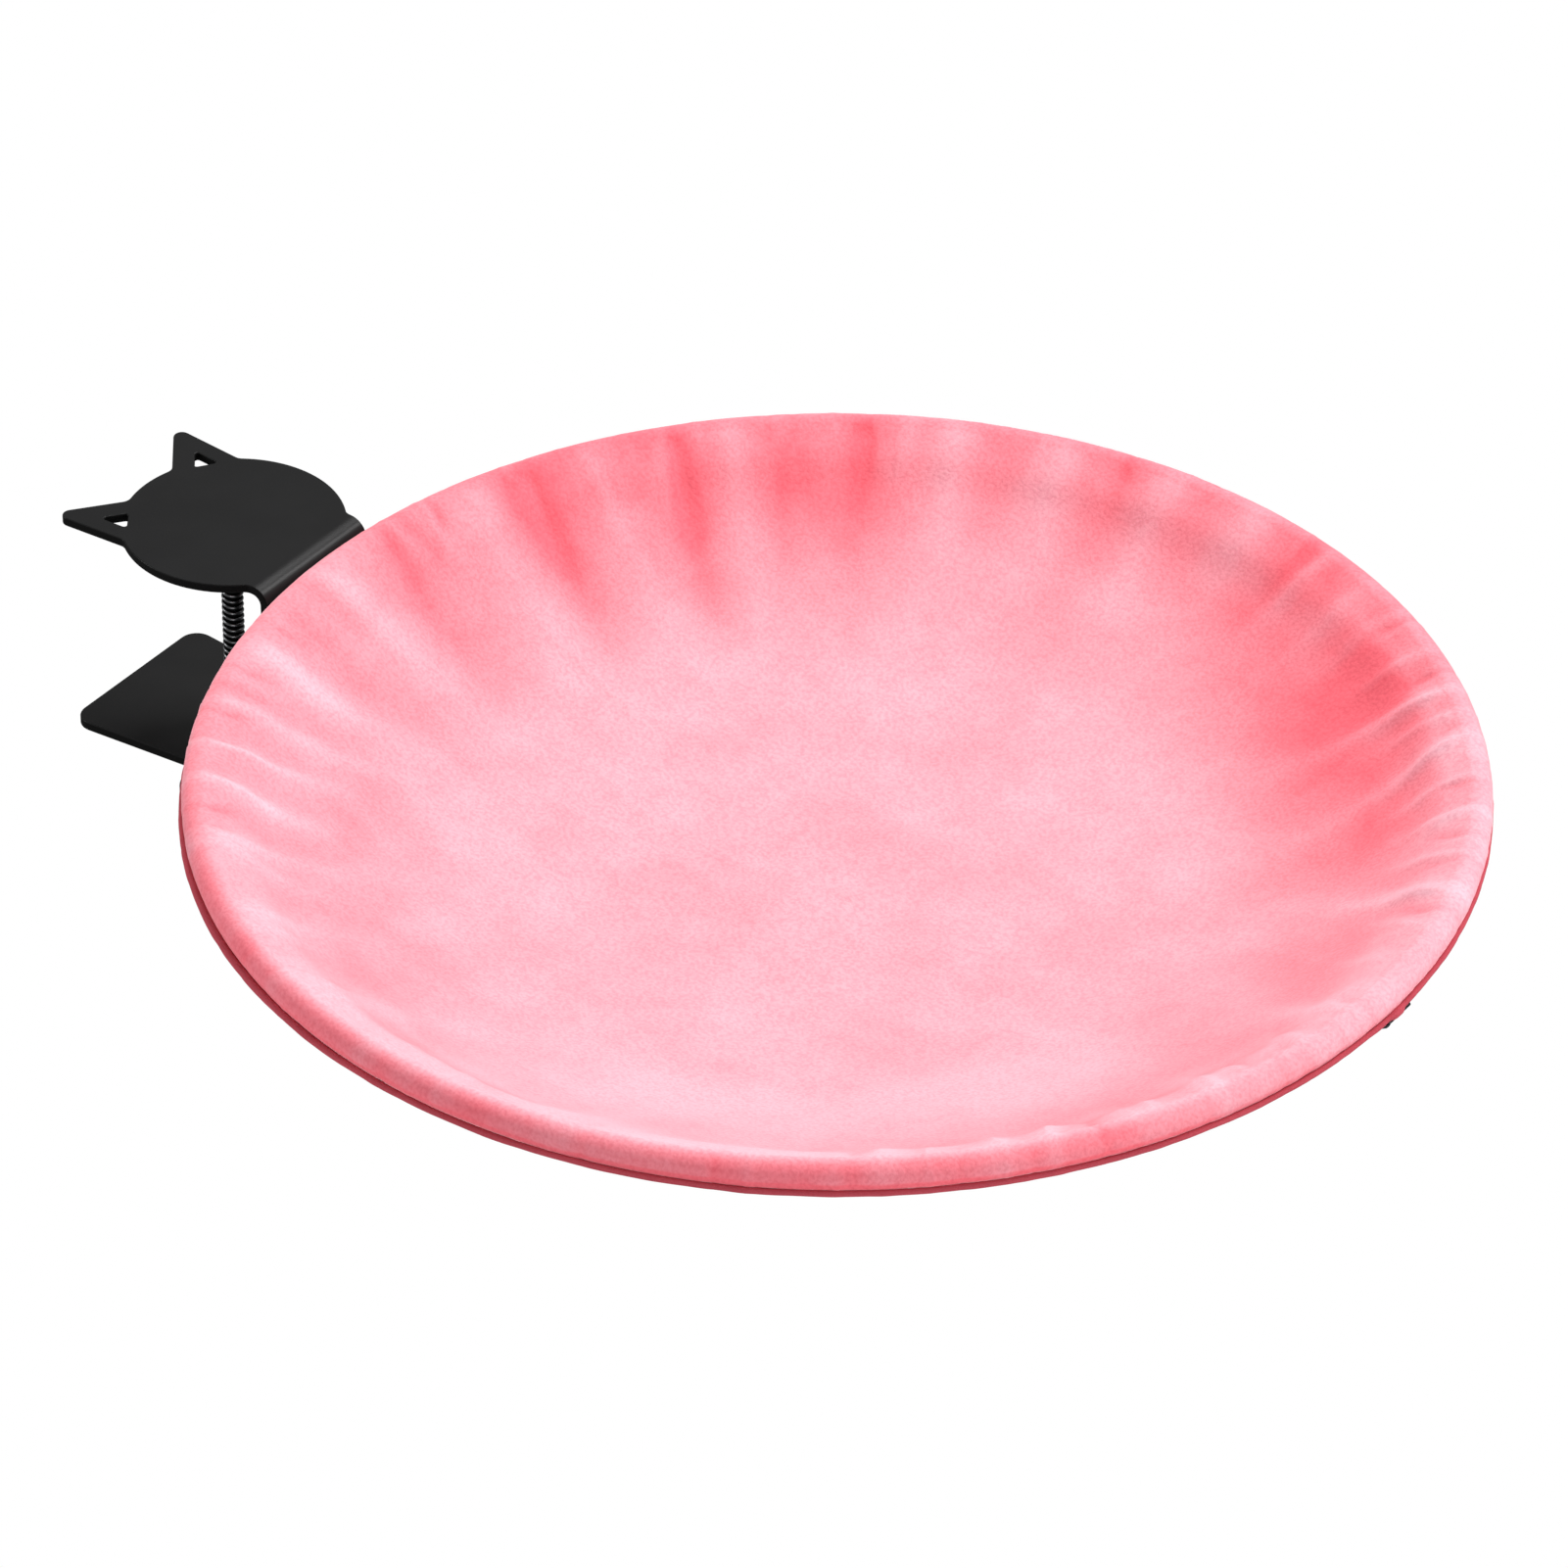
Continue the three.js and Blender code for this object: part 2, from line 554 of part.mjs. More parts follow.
function screwKnob() {
  const grip = new THREE.ExtrudeGeometry(knobOutline(), {
    depth: KNOB_HEIGHT - 2 * KNOB_EDGE, bevelEnabled: true, bevelThickness: KNOB_EDGE, bevelSize: KNOB_EDGE,
    bevelOffset: -KNOB_EDGE, bevelSegments: 2,
  }).translate(0, 0, knobBottom + KNOB_EDGE);
  const hubRadius = KNOB_HUB_DIAMETER / 2;
  const hub = turned([
    [0, knobShoulder - KNOB_EDGE], [hubRadius, knobShoulder - KNOB_EDGE], [hubRadius - KNOB_HUB_DRAFT, knobTop],
    [0, knobTop],
  ]);
  const bore = cylinder(screwRadius + SEAT_GAP, screwEnd - SEAT_GAP, knobTop + CUT_OVERRUN);
  const pocket = hexBar(NUT_ACROSS_FLATS + 2 * SEAT_GAP, knobTop - NUT_HEIGHT - SEAT_GAP, knobTop + CUT_OVERRUN);
  return cut(join(grip, hub), bore, pocket);
}

// The angle bracket: a shelf welded under the hoop's rod and a leg bolted to the web.
function hoopMount() {
  const shelfEnd = hoopCentreX - hoopRadius + rodRadius + MOUNT_PAST_ROD;
  const half = MOUNT_WIDTH / 2;
  const outside = MOUNT_THICKNESS + BEND_INSIDE_RADIUS;
  const section = new THREE.Shape();
  section.moveTo(webOuterX, shelfTop - MOUNT_HEIGHT);
  section.lineTo(webOuterX + MOUNT_THICKNESS, shelfTop - MOUNT_HEIGHT);
  section.lineTo(webOuterX + MOUNT_THICKNESS, shelfTop - outside);
  section.absarc(webOuterX + outside, shelfTop - outside, BEND_INSIDE_RADIUS, 180 * DEGREE, 90 * DEGREE, true);
  section.lineTo(shelfEnd, shelfTop - MOUNT_THICKNESS);
  section.lineTo(shelfEnd, shelfTop);
  section.lineTo(webOuterX + outside, shelfTop);
  section.absarc(webOuterX + outside, shelfTop - outside, outside, 90 * DEGREE, 180 * DEGREE, false);
  section.closePath();
  const blank = prism(section, -half, half).rotateX(Math.PI / 2);

  const bottom = shelfTop - MOUNT_HEIGHT;
  const legOutline = roundedPolygon(
    [vec(-half, bottom), vec(half, bottom), vec(half, plateTop), vec(-half, plateTop)], MOUNT_CORNER_RADIUS,
  );
  const legEnd = shelfEnd + CUT_OVERRUN;
  const trimmed = common(blank, alongX(prism(legOutline, webOuterX - CUT_OVERRUN, legEnd)));
  return cut(trimmed, ...Object.values(boltPlaces).map(boltHole));
}

const stackEnd = PLATE_THICKNESS + MOUNT_THICKNESS;
const nutStart = stackEnd + WASHER_THICKNESS;
const boltEnd = nutStart + BOLT_NUT_HEIGHT + BOLT_PAST_NUT;

// A countersunk bolt with a hexagonal key socket, its head flush with the web.
function mountBolt(y) {
  const chamfer = SEAT_GAP;
  const shank = turned([
    [0, 0], [boltHeadRadius, 0], [boltRadius, boltHeadHeight], [boltRadius, boltEnd - chamfer],
    [boltRadius - chamfer, boltEnd], [0, boltEnd],
  ], SMALL_ROUND_SIDES);
  return atBolt(cut(shank, hexBar(HEX_KEY_ACROSS_FLATS, -CUT_OVERRUN, HEX_KEY_DEPTH)), y);
}

function boltWasher(y) {
  const outside = WASHER_DIAMETER / 2;
  return atBolt(turnedRing([
    [boltHoleRadius, stackEnd], [outside, stackEnd], [outside, nutStart], [boltHoleRadius, nutStart],
  ], SMALL_ROUND_SIDES), y);
}

function boltNut(y) {
  return atBolt(nut(BOLT_NUT_ACROSS_FLATS, boltHoleRadius, nutStart, nutStart + BOLT_NUT_HEIGHT), y);
}

// The cover's layers share one curve: round the hoop's rod, then down into the bowl. It is worked out about
// the hoop's middle, in radius and height, and each layer lies a given depth under the velvet's face.
const bowlRadius = hoopRadius - velvetOutside * Math.sin(BOWL_RIM_SLOPE);
const bowlRimHeight = velvetOutside * Math.cos(BOWL_RIM_SLOPE);
const bowlExponent = (Math.tan(BOWL_RIM_SLOPE) * bowlRadius) / BOWL_DEPTH;

// A point of the bowl at a share of its radius, moved square to the surface by a depth.
function bowlPoint(share, depth) {
  const height = bowlRimHeight - BOWL_DEPTH * (1 - share ** bowlExponent);
  const slope = Math.atan(Math.tan(BOWL_RIM_SLOPE) * share ** (bowlExponent - 1));
  return [share * bowlRadius + depth * Math.sin(slope), height - depth * Math.cos(slope)];
}

// Points of the bowl down to its middle, on the same rings in every layer.
function bowlCurve(shares, depth) {
  return shares.map((share) => bowlPoint(share, depth));
}

// The height that the gathers add at one place of the bowl.
function foldHeight(x, y) {
  const share = Math.hypot(x, y) / bowlRadius;
  if (share <= FOLD_START_SHARE || share >= 1) return 0;
  const way = (share - FOLD_START_SHARE) / (1 - FOLD_START_SHARE);
  const crest = Math.sin(Math.PI * way ** FOLD_CREST_SHARE);
  const turn = Math.atan2(y, x) / (2 * Math.PI);
  const wave = FOLD_COUNTS.reduce((sum, count, i) => (
    sum + FOLD_HEIGHT_SHARES[i] * Math.cos(2 * Math.PI * (count * turn + FOLD_TURNS[i]))
  ), 0);
  return FOLD_HEIGHT * crest * wave;
}

// Raises the points that a test picks by the height of the folds there.
function folded(geometry, isFolded = () => true) {
  const at = geometry.getAttribute('position');
  for (let i = 0; i < at.count; i += 1) {
    if (isFolded(at.getX(i), at.getY(i), at.getZ(i))) {
      at.setZ(i, at.getZ(i) + foldHeight(at.getX(i), at.getY(i)));
    }
  }
  return geometry;
}

// Points round the rod, from the hem under its outer side to where the bowl starts.
function wrapCurve(radius) {
  const end = 90 * DEGREE + BOWL_RIM_SLOPE;
  return Array.from({ length: WRAP_STEPS }, (_, i) => {
    const angle = -VELVET_HEM_ANGLE + (end + VELVET_HEM_ANGLE) * (i / WRAP_STEPS);
    return [hoopRadius + radius * Math.cos(angle), radius * Math.sin(angle)];
  });
}

function velvetTop() {
  const face = [...wrapCurve(velvetOutside), ...bowlCurve(BOWL_RING_SHARES, 0)];
  const back = [...wrapCurve(velvetInside), ...bowlCurve(BOWL_RING_SHARES, VELVET_THICKNESS)];
  return folded(turned([...face.reverse(), ...back], RING_STEPS));
}

const waddingTop = VELVET_THICKNESS + SEAT_GAP;
const waddingBottom = waddingTop + WADDING_THICKNESS;
const liningTop = waddingBottom + SEAT_GAP;
const liningBottom = liningTop + LINING_THICKNESS;
const innerRingShares = BOWL_RING_SHARES.slice(1);

// The wadding's face follows the velvet's folds and its underside stays smooth. Its outline runs the other
// way round, so that the facets of its face split as those of the velvet above it do.
function waddingSheet() {
  const face = bowlCurve(innerRingShares, waddingTop);
  const back = bowlCurve(innerRingShares, waddingBottom);
  const sheet = turned([...back.reverse(), ...face], RING_STEPS);
  const isFace = (x, y, z) => {
    const radius = Math.hypot(x, y);
    return face.some(([r, h]) => Math.abs(r - radius) < SEAT_GAP && Math.abs(h - z) < SEAT_GAP);
  };
  return folded(sheet, isFace);
}

// The piping lies against the velvet's hem, and the lining starts beside it.
const hemCorner = vec(velvetOutside * Math.cos(VELVET_HEM_ANGLE), -velvetOutside * Math.sin(VELVET_HEM_ANGLE));
const pipingReach = pipingRadius + SEAT_GAP;
const pipingCentre = vec(
  velvetOutside, hemCorner.y - Math.sqrt(pipingReach ** 2 - (velvetOutside - hemCorner.x) ** 2),
);
const liningEdge = vec(hoopRadius + pipingCentre.x - pipingReach, pipingCentre.y);
const liningJoin = vec(...bowlPoint(innerRingShares[0], liningBottom));
const underRim = liningJoin.clone().sub(liningEdge).normalize();   // from the lining's edge in and down
const underNormal = vec(-underRim.y, underRim.x);                  // out of the cover, down and outward
const liningSlope = Math.atan2(-underRim.y, -underRim.x);

// A point under the rim: so far along the lining from the middle of the zip, and so far off its face.
function underRimPoint(along, off) {
  const point = liningEdge.clone().addScaledVector(underRim, ZIP_SETBACK + along).addScaledVector(underNormal, off);
  return [point.x, point.y];
}

// The slit in the cover that lets the mount's shelf in.
function mountSlit() {
  const half = MOUNT_WIDTH / 2 + MOUNT_SLIT_CLEARANCE;
  const shelfEnd = -hoopRadius + rodRadius + MOUNT_PAST_ROD + MOUNT_SLIT_CLEARANCE;
  return box([-HOOP_OUTSIDE_DIAMETER, -half, -BOWL_DEPTH / 2], [shelfEnd, half, pipingCentre.y + pipingReach]);
}

function coverLining() {
  const edgeInside = liningEdge.clone().addScaledVector(underNormal, -LINING_THICKNESS);
  const face = bowlCurve(innerRingShares, liningTop);
  const back = bowlCurve(innerRingShares, liningBottom);
  const profile = [...face.reverse(), [edgeInside.x, edgeInside.y], [liningEdge.x, liningEdge.y], ...back];
  return cut(turned(profile, RING_STEPS), mountSlit());
}

function ringOfRound(radius, centreRadius, centreHeight, sides) {
  const profile = Array.from({ length: sides }, (_, i) => {
    const angle = ((i + 0.5) / sides) * 2 * Math.PI;
    return [centreRadius + radius * Math.cos(angle), centreHeight + radius * Math.sin(angle)];
  });
  return turnedRing(profile, RING_STEPS);
}

function rimPiping() {
  const ring = ringOfRound(pipingRadius, hoopRadius + pipingCentre.x, pipingCentre.y, PIPING_SIDES);
  return cut(ring, mountSlit());
}

// The part of a ring between two angles, seen from the hoop's middle.
function sector(ring, from, to) {
  const pie = new THREE.Shape();
  pie.moveTo(0, 0);
  pie.lineTo(HOOP_OUTSIDE_DIAMETER * Math.cos(from), HOOP_OUTSIDE_DIAMETER * Math.sin(from));
  pie.absarc(0, 0, HOOP_OUTSIDE_DIAMETER, from, to, false);
  pie.closePath();
  return common(ring, prism(pie, -BOWL_DEPTH, BOWL_DEPTH));
}

const zipChainTop = SEAT_GAP + ZIP_CHAIN_THICKNESS;
const stopAngle = ZIP_STOP_LENGTH / hoopRadius;
const sliderAngle = SLIDER_LENGTH / hoopRadius;
const gapAngle = SEAT_GAP / hoopRadius;
const zipStart = ZIP_CLOSED_ANGLE - sliderAngle / 2 - gapAngle;
const zipEnd = ZIP_CLOSED_ANGLE + ZIP_RUN_ANGLE + sliderAngle / 2 + gapAngle;

// A band under the rim, between two distances along the lining and between two heights off it.
function band(along, off, from, to) {
  const profile = [
    underRimPoint(along[0], off[0]), underRimPoint(along[1], off[0]),
    underRimPoint(along[1], off[1]), underRimPoint(along[0], off[1]),
  ];
  return sector(turnedRing(profile, RING_STEPS), from, to);
}

function zipTape(side) {
  const near = ZIP_CHAIN_WIDTH / 2 + SEAT_GAP;
  const along = side === 'inner' ? [near, near + ZIP_TAPE_WIDTH] : [SEAT_GAP - ZIP_SETBACK, -near];
  return band(along, [SEAT_GAP, SEAT_GAP + ZIP_TAPE_THICKNESS], zipStart - stopAngle, zipEnd + stopAngle);
}

function zipChain() {
  const half = ZIP_CHAIN_WIDTH / 2;
  return band([-half, half], [SEAT_GAP, zipChainTop], zipStart, zipEnd);
}

// A stop is clamped across the chain's end, over the tapes.
function zipStop(from) {
  const half = ZIP_CHAIN_WIDTH / 2 + ZIP_STOP_OVERHANG + SEAT_GAP;
  const off = [2 * SEAT_GAP + ZIP_TAPE_THICKNESS, zipChainTop + ZIP_STOP_OVERHANG];
  return band([-half, half], off, from, from + stopAngle - gapAngle);
}

// The slider and its pull are drawn lying on the zip: X across it, Y along it towards the open end, Z away
// from the fabric, with the origin under the chain's middle.
const sliderInside = ZIP_CHAIN_WIDTH / 2 + SLIDER_CLEARANCE;
const sliderHalfWidth = sliderInside + SLIDER_WALL;
const sliderFoot = SEAT_GAP + ZIP_TAPE_THICKNESS + SLIDER_CLEARANCE;
const sliderCeiling = zipChainTop + SLIDER_CLEARANCE;
const sliderTop = sliderCeiling + SLIDER_PLATE;
const pullHeight = sliderTop + BRIDGE_OPENING_HEIGHT / 2;

function zipSlider() {
  const half = SLIDER_LENGTH / 2;
  const rear = sliderHalfWidth;
  const mouth = sliderHalfWidth + SLIDER_TAPER;
  const outline = roundedPolygon(
    [vec(-mouth, -half), vec(mouth, -half), vec(rear, half), vec(-rear, half)], SLIDER_CORNER,
  );
  const body = prism(outline, sliderFoot, sliderTop);
  const channel = box(
    [-sliderInside, -half - CUT_OVERRUN, sliderFoot - CUT_OVERRUN], [sliderInside, half + CUT_OVERRUN, sliderCeiling],
  );
  const bridgeHalf = BRIDGE_LENGTH / 2;
  const bridgeTop = sliderTop + BRIDGE_OPENING_HEIGHT + BRIDGE_WALL;
  const arch = new THREE.Shape();
  arch.moveTo(-bridgeHalf, sliderTop - SLIDER_PLATE / 2);
  arch.lineTo(bridgeHalf, sliderTop - SLIDER_PLATE / 2);
  arch.lineTo(bridgeHalf, sliderTop);
  arch.quadraticCurveTo(bridgeHalf, bridgeTop, 0, bridgeTop);
  arch.quadraticCurveTo(-bridgeHalf, bridgeTop, -bridgeHalf, sliderTop);
  arch.closePath();
  const inside = bridgeHalf - BRIDGE_WALL;
  const opening = new THREE.Shape();
  opening.moveTo(-inside, sliderTop);
  opening.lineTo(inside, sliderTop);
  opening.quadraticCurveTo(inside, bridgeTop - BRIDGE_WALL, 0, bridgeTop - BRIDGE_WALL);
  opening.quadraticCurveTo(-inside, bridgeTop - BRIDGE_WALL, -inside, sliderTop);
  const across = (shape, half) => alongX(prism(shape, -half, half));
  const bridge = cut(across(arch, BRIDGE_WIDTH / 2), across(opening, BRIDGE_WIDTH));
  return join(cut(body, channel), bridge);
}

// The pull's end bar passes through the slider's bridge, and the pull turns on it.
function zipPull() {
  const bar = PULL_BAR / 2;
  const half = PULL_WIDTH / 2;
  const outline = roundedPolygon(
    [vec(-half, -bar), vec(half, -bar), vec(half, PULL_LENGTH - bar), vec(-half, PULL_LENGTH - bar)],
    [bar, bar, PULL_CORNER, PULL_CORNER],
  );
  const window = PULL_WINDOW_WIDTH / 2;
  outline.holes.push(roundedPolygon([
    vec(-window, bar), vec(-window, bar + PULL_WINDOW_LENGTH), vec(window, bar + PULL_WINDOW_LENGTH), vec(window, bar),
  ], bar, new THREE.Path()));
  const grip = new THREE.Path();
  grip.absarc(0, PULL_LENGTH - half - bar, PULL_GRIP_HOLE_DIAMETER / 2, 0, 2 * Math.PI, true);
  outline.holes.push(grip);
  return prism(outline, pullHeight - PULL_THICKNESS / 2, pullHeight + PULL_THICKNESS / 2);
}

const blackPowderCoat = new THREE.MeshStandardMaterial({ color: 0x1c1c1e, roughness: 0.55, metalness: 0.3 });
const zincSteel = new THREE.MeshStandardMaterial({ color: 0x8d9093, roughness: 0.35, metalness: 0.9 });
const darkThread = new THREE.MeshStandardMaterial({ color: 0x3a3b3d, roughness: 0.4, metalness: 0.8 });
const blackRubber = new THREE.MeshStandardMaterial({ color: 0x141415, roughness: 0.9, metalness: 0 });
const blackPlastic = new THREE.MeshStandardMaterial({ color: 0x18181a, roughness: 0.6, metalness: 0 });
const pinkVelvet = new THREE.MeshStandardMaterial({ color: 0xf79aa9, roughness: 0.95, metalness: 0 });
const coralPiping = new THREE.MeshStandardMaterial({ color: 0xd4525f, roughness: 0.9, metalness: 0 });
const pinkLining = new THREE.MeshStandardMaterial({ color: 0xe07f8d, roughness: 0.9, metalness: 0 });
const whiteWadding = new THREE.MeshStandardMaterial({ color: 0xf3f1ed, roughness: 1, metalness: 0 });
const zipCloth = new THREE.MeshStandardMaterial({ color: 0xb94855, roughness: 0.9, metalness: 0 });
const zipNylon = new THREE.MeshStandardMaterial({ color: 0xa63c49, roughness: 0.5, metalness: 0 });
const darkNickel = new THREE.MeshStandardMaterial({ color: 0x4a4a4d, roughness: 0.35, metalness: 0.85 });

function piece(name, geometry, material) {
  const mesh = new THREE.Mesh(closedSkin(geometry), material.clone());
  mesh.name = name;
  return mesh;
}

function clampGroup() {
  const group = new THREE.Group();
  group.add(
    piece('clamp_bracket', clampBracket(), blackPowderCoat),
    piece('top_pad', topPad(), blackRubber),
    piece('weld_nut', nut(WELD_NUT_ACROSS_FLATS, screwRadius + SEAT_GAP, weldNutBottom, armBottom), blackPowderCoat),
    piece('clamp_screw', clampScrew(), darkThread),
    piece('screw_knob', screwKnob(), blackPlastic),
    piece('knob_nut', nut(NUT_ACROSS_FLATS, screwRadius + SEAT_GAP, knobTop - NUT_HEIGHT, knobTop), zincSteel),
    piece('pressure_foot', pressureFoot(), blackPowderCoat),
    piece('foot_pad', footPad(), blackRubber),
    piece('foot_clip', footClip(), zincSteel),
    piece('hoop_mount', hoopMount(), blackPowderCoat),
  );
  for (const [side, y] of Object.entries(boltPlaces)) {
    group.add(
      piece(`mount_bolt_${side}`, mountBolt(y), zincSteel),
      piece(`mount_washer_${side}`, boltWasher(y), zincSteel),
      piece(`mount_nut_${side}`, boltNut(y), zincSteel),
    );
  }
  return group;
}

// The slider's own frame, turned under the rim at the angle where it is parked.
function sliderGroup() {
  const [x, z] = underRimPoint(0, 0);
  const onZip = new THREE.Group();
  onZip.position.set(x, 0, z);
  onZip.rotation.y = Math.PI - liningSlope;
  onZip.add(piece('zip_slider', zipSlider(), darkNickel), piece('zip_pull', zipPull(), darkNickel));
  const parked = new THREE.Group();
  parked.rotation.z = ZIP_CLOSED_ANGLE;
  parked.add(onZip);
  return parked;
}

function hammockGroup() {
  const group = new THREE.Group();
  group.position.set(hoopCentreX, 0, hoopPlane);
  group.add(
    piece('hoop', ringOfRound(rodRadius, hoopRadius, 0, ROD_SIDES), zincSteel),
    piece('cover_velvet', velvetTop(), pinkVelvet),
    piece('wadding', waddingSheet(), whiteWadding),
    piece('cover_lining', coverLining(), pinkLining),
    piece('rim_piping', rimPiping(), coralPiping),
    piece('zip_tape_outer', zipTape('outer'), zipCloth),
    piece('zip_tape_inner', zipTape('inner'), zipCloth),
    piece('zip_chain', zipChain(), zipNylon),
    piece('zip_stop_closed', zipStop(zipStart - stopAngle), darkNickel),
    piece('zip_stop_open', zipStop(zipEnd + gapAngle), darkNickel),
    sliderGroup(),
  );
  return group;
}

const hammock = new THREE.Group();
hammock.name = 'desk_cat_hammock';
hammock.add(clampGroup(), hammockGroup());

export default hammock;
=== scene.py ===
# %% [markdown]
# # A hammock for a cat, clamped to the edge of a desk
#
# The solids of this hammock come from its CAD source and stay where they are. This script dresses them: it
# lays real cloth over the round bowl, cuts a thread on the screw, rounds the edges of the steel and gives
# every piece its finish. Its objects are in metres, with the screw on the Z axis and the desk's top at height
# zero. Profiles and the cloth are worked out in millimetres first and divided by 1000 at the end.

# %% Load the solids
import json
import math

import bmesh
import bpy
import numpy as np
from mathutils import Matrix, Vector

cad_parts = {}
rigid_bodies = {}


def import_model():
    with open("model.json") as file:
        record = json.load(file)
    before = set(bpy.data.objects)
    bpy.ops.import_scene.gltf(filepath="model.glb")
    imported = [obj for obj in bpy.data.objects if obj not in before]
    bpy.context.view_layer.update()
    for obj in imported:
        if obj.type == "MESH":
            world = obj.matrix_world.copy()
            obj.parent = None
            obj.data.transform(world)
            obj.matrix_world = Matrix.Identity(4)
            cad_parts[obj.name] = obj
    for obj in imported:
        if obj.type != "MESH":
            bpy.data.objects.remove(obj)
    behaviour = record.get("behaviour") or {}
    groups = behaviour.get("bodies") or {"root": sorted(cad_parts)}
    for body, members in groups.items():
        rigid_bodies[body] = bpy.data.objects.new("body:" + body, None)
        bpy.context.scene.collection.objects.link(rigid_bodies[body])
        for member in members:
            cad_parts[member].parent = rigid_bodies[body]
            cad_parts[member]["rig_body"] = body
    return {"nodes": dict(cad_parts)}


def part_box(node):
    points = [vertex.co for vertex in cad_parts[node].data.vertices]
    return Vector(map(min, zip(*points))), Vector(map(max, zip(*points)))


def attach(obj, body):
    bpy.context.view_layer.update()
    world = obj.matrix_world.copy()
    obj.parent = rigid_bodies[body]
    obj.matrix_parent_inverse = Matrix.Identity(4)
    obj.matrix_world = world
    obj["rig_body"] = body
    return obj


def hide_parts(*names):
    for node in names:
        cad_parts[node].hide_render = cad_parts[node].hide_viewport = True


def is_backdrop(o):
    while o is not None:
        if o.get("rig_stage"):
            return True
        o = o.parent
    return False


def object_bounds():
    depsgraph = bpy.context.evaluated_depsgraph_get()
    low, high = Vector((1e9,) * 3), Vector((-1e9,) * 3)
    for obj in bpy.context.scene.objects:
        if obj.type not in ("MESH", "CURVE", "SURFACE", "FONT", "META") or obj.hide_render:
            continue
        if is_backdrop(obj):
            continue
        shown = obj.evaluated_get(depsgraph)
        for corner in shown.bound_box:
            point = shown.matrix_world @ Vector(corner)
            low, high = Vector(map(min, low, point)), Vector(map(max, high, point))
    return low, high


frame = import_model()
solids = frame["nodes"]
solids_box = [list(corner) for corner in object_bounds()]
scene = bpy.context.scene
print("solids:", len(solids), "box:", [[round(x, 4) for x in corner] for corner in solids_box])

# %% [markdown]
# ## Camera
#
# The camera was fitted to the round rim, which looks like an ellipse, and to the flat face of the clamp. It
# stands 3.6 metres from the middle of the hoop and looks down on it, through a long lens, so the near and the
# far side of the rim are almost the same size. A matrix built from three directions is used here, because the
# fit gives directions and no point to track.

# %% Camera
SIDE_ANGLE = math.radians(36.251)
LOOK_DOWN = math.radians(35.586)
CAMERA_DISTANCE = 3.606
AIM_ASIDE = 0.00503
AIM_LOWER = 0.00019
hoop_middle = Vector((0.2672, 0.0, 0.0045))

level = Vector((-math.sin(SIDE_ANGLE), math.cos(SIDE_ANGLE), 0))
sideways = Vector((math.cos(SIDE_ANGLE), math.sin(SIDE_ANGLE), 0))
straight = level * math.cos(LOOK_DOWN) - Vector((0, 0, 1)) * math.sin(LOOK_DOWN)
upright = level * math.sin(LOOK_DOWN) + Vector((0, 0, 1)) * math.cos(LOOK_DOWN)
forward = (straight - AIM_ASIDE * sideways - AIM_LOWER * upright).normalized()
right = forward.cross(Vector((0, 0, 1))).normalized()
up = right.cross(forward)

camera_data = bpy.data.cameras.new("photo_camera")
camera_data.lens = 242.1
camera_data.sensor_width = 36
camera_data.clip_end = 50
camera = bpy.data.objects.new("photo_camera", camera_data)
scene.collection.objects.link(camera)
place = Matrix((right, up, -forward)).transposed().to_4x4()
place.translation = hoop_middle - straight * CAMERA_DISTANCE
camera.matrix_world = place
scene.camera = camera
print("camera at", [round(x, 3) for x in place.translation])

# %% [markdown]
# ## Floor and light
#
# The hammock hangs from a desk, so the floor is as far below it as the floor of a room. In such a photograph
# the background is pure white, yet the undersides and the edges of the steel stay dark, because the white is
# far away and little light comes up from it. So floor and world are white where they are seen and dimmer as
# lights, which the Light Path node can tell apart. The key lamp stands beyond the right side of the bowl and
# a large box above its far side. Cards on the right and below the near side fill the shadows of the folds,
# and a small card on the left draws a bright line on the screw.

# %% Floor
def mesh_piece(name, points, faces, smooth=True):
    """A mesh object from points in metres, with its faces turned outwards."""
    mesh = bpy.data.meshes.new(name)
    mesh.from_pydata([tuple(p) for p in points], [], faces)
    work = bmesh.new()
    work.from_mesh(mesh)
    bmesh.ops.recalc_face_normals(work, faces=work.faces)
    work.to_mesh(mesh)
    work.free()
    if smooth:
        mesh.shade_smooth()
    piece = bpy.data.objects.new(name, mesh)
    scene.collection.objects.link(piece)
    return piece


FLOOR_DROP = 0.74
FLOOR_HALF = 12
corners = [(x * FLOOR_HALF, y * FLOOR_HALF, -FLOOR_DROP) for x, y in ((-1, -1), (1, -1), (1, 1), (-1, 1))]
floor = mesh_piece("floor", corners, [(0, 1, 2, 3)], smooth=False)
floor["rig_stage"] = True
print("floor", FLOOR_DROP, "m below the desk's top")

# %% [markdown]
# Light and finishes are made of nodes. One helper adds a node to a tree, so that each node is a single call
# that shows what it is given.

# %% A helper for nodes
def add_node(tree, kind, inputs=None, **settings):
    """A node with its settings and inputs. An input is a value or the socket of another node."""
    node = tree.nodes.new(kind)
    for name, value in settings.items():
        setattr(node, name, value)
    for name, value in (inputs or {}).items():
        if isinstance(value, bpy.types.NodeSocket):
            tree.links.new(value, node.inputs[name])
        else:
            node.inputs[name].default_value = value
    return node


# %% Light
WORLD_STRENGTH = 0.26


def white_when_seen(tree, output, other):
    """Pure white for the camera, and another shader for the light that falls on the object."""
    path = add_node(tree, "ShaderNodeLightPath")
    white = add_node(tree, "ShaderNodeEmission", {"Color": (1, 1, 1, 1)})
    choice = add_node(tree, "ShaderNodeMixShader", {
        0: path.outputs["Is Camera Ray"], 1: other, 2: white.outputs[0],
    })
    tree.links.new(choice.outputs[0], output.inputs["Surface"])


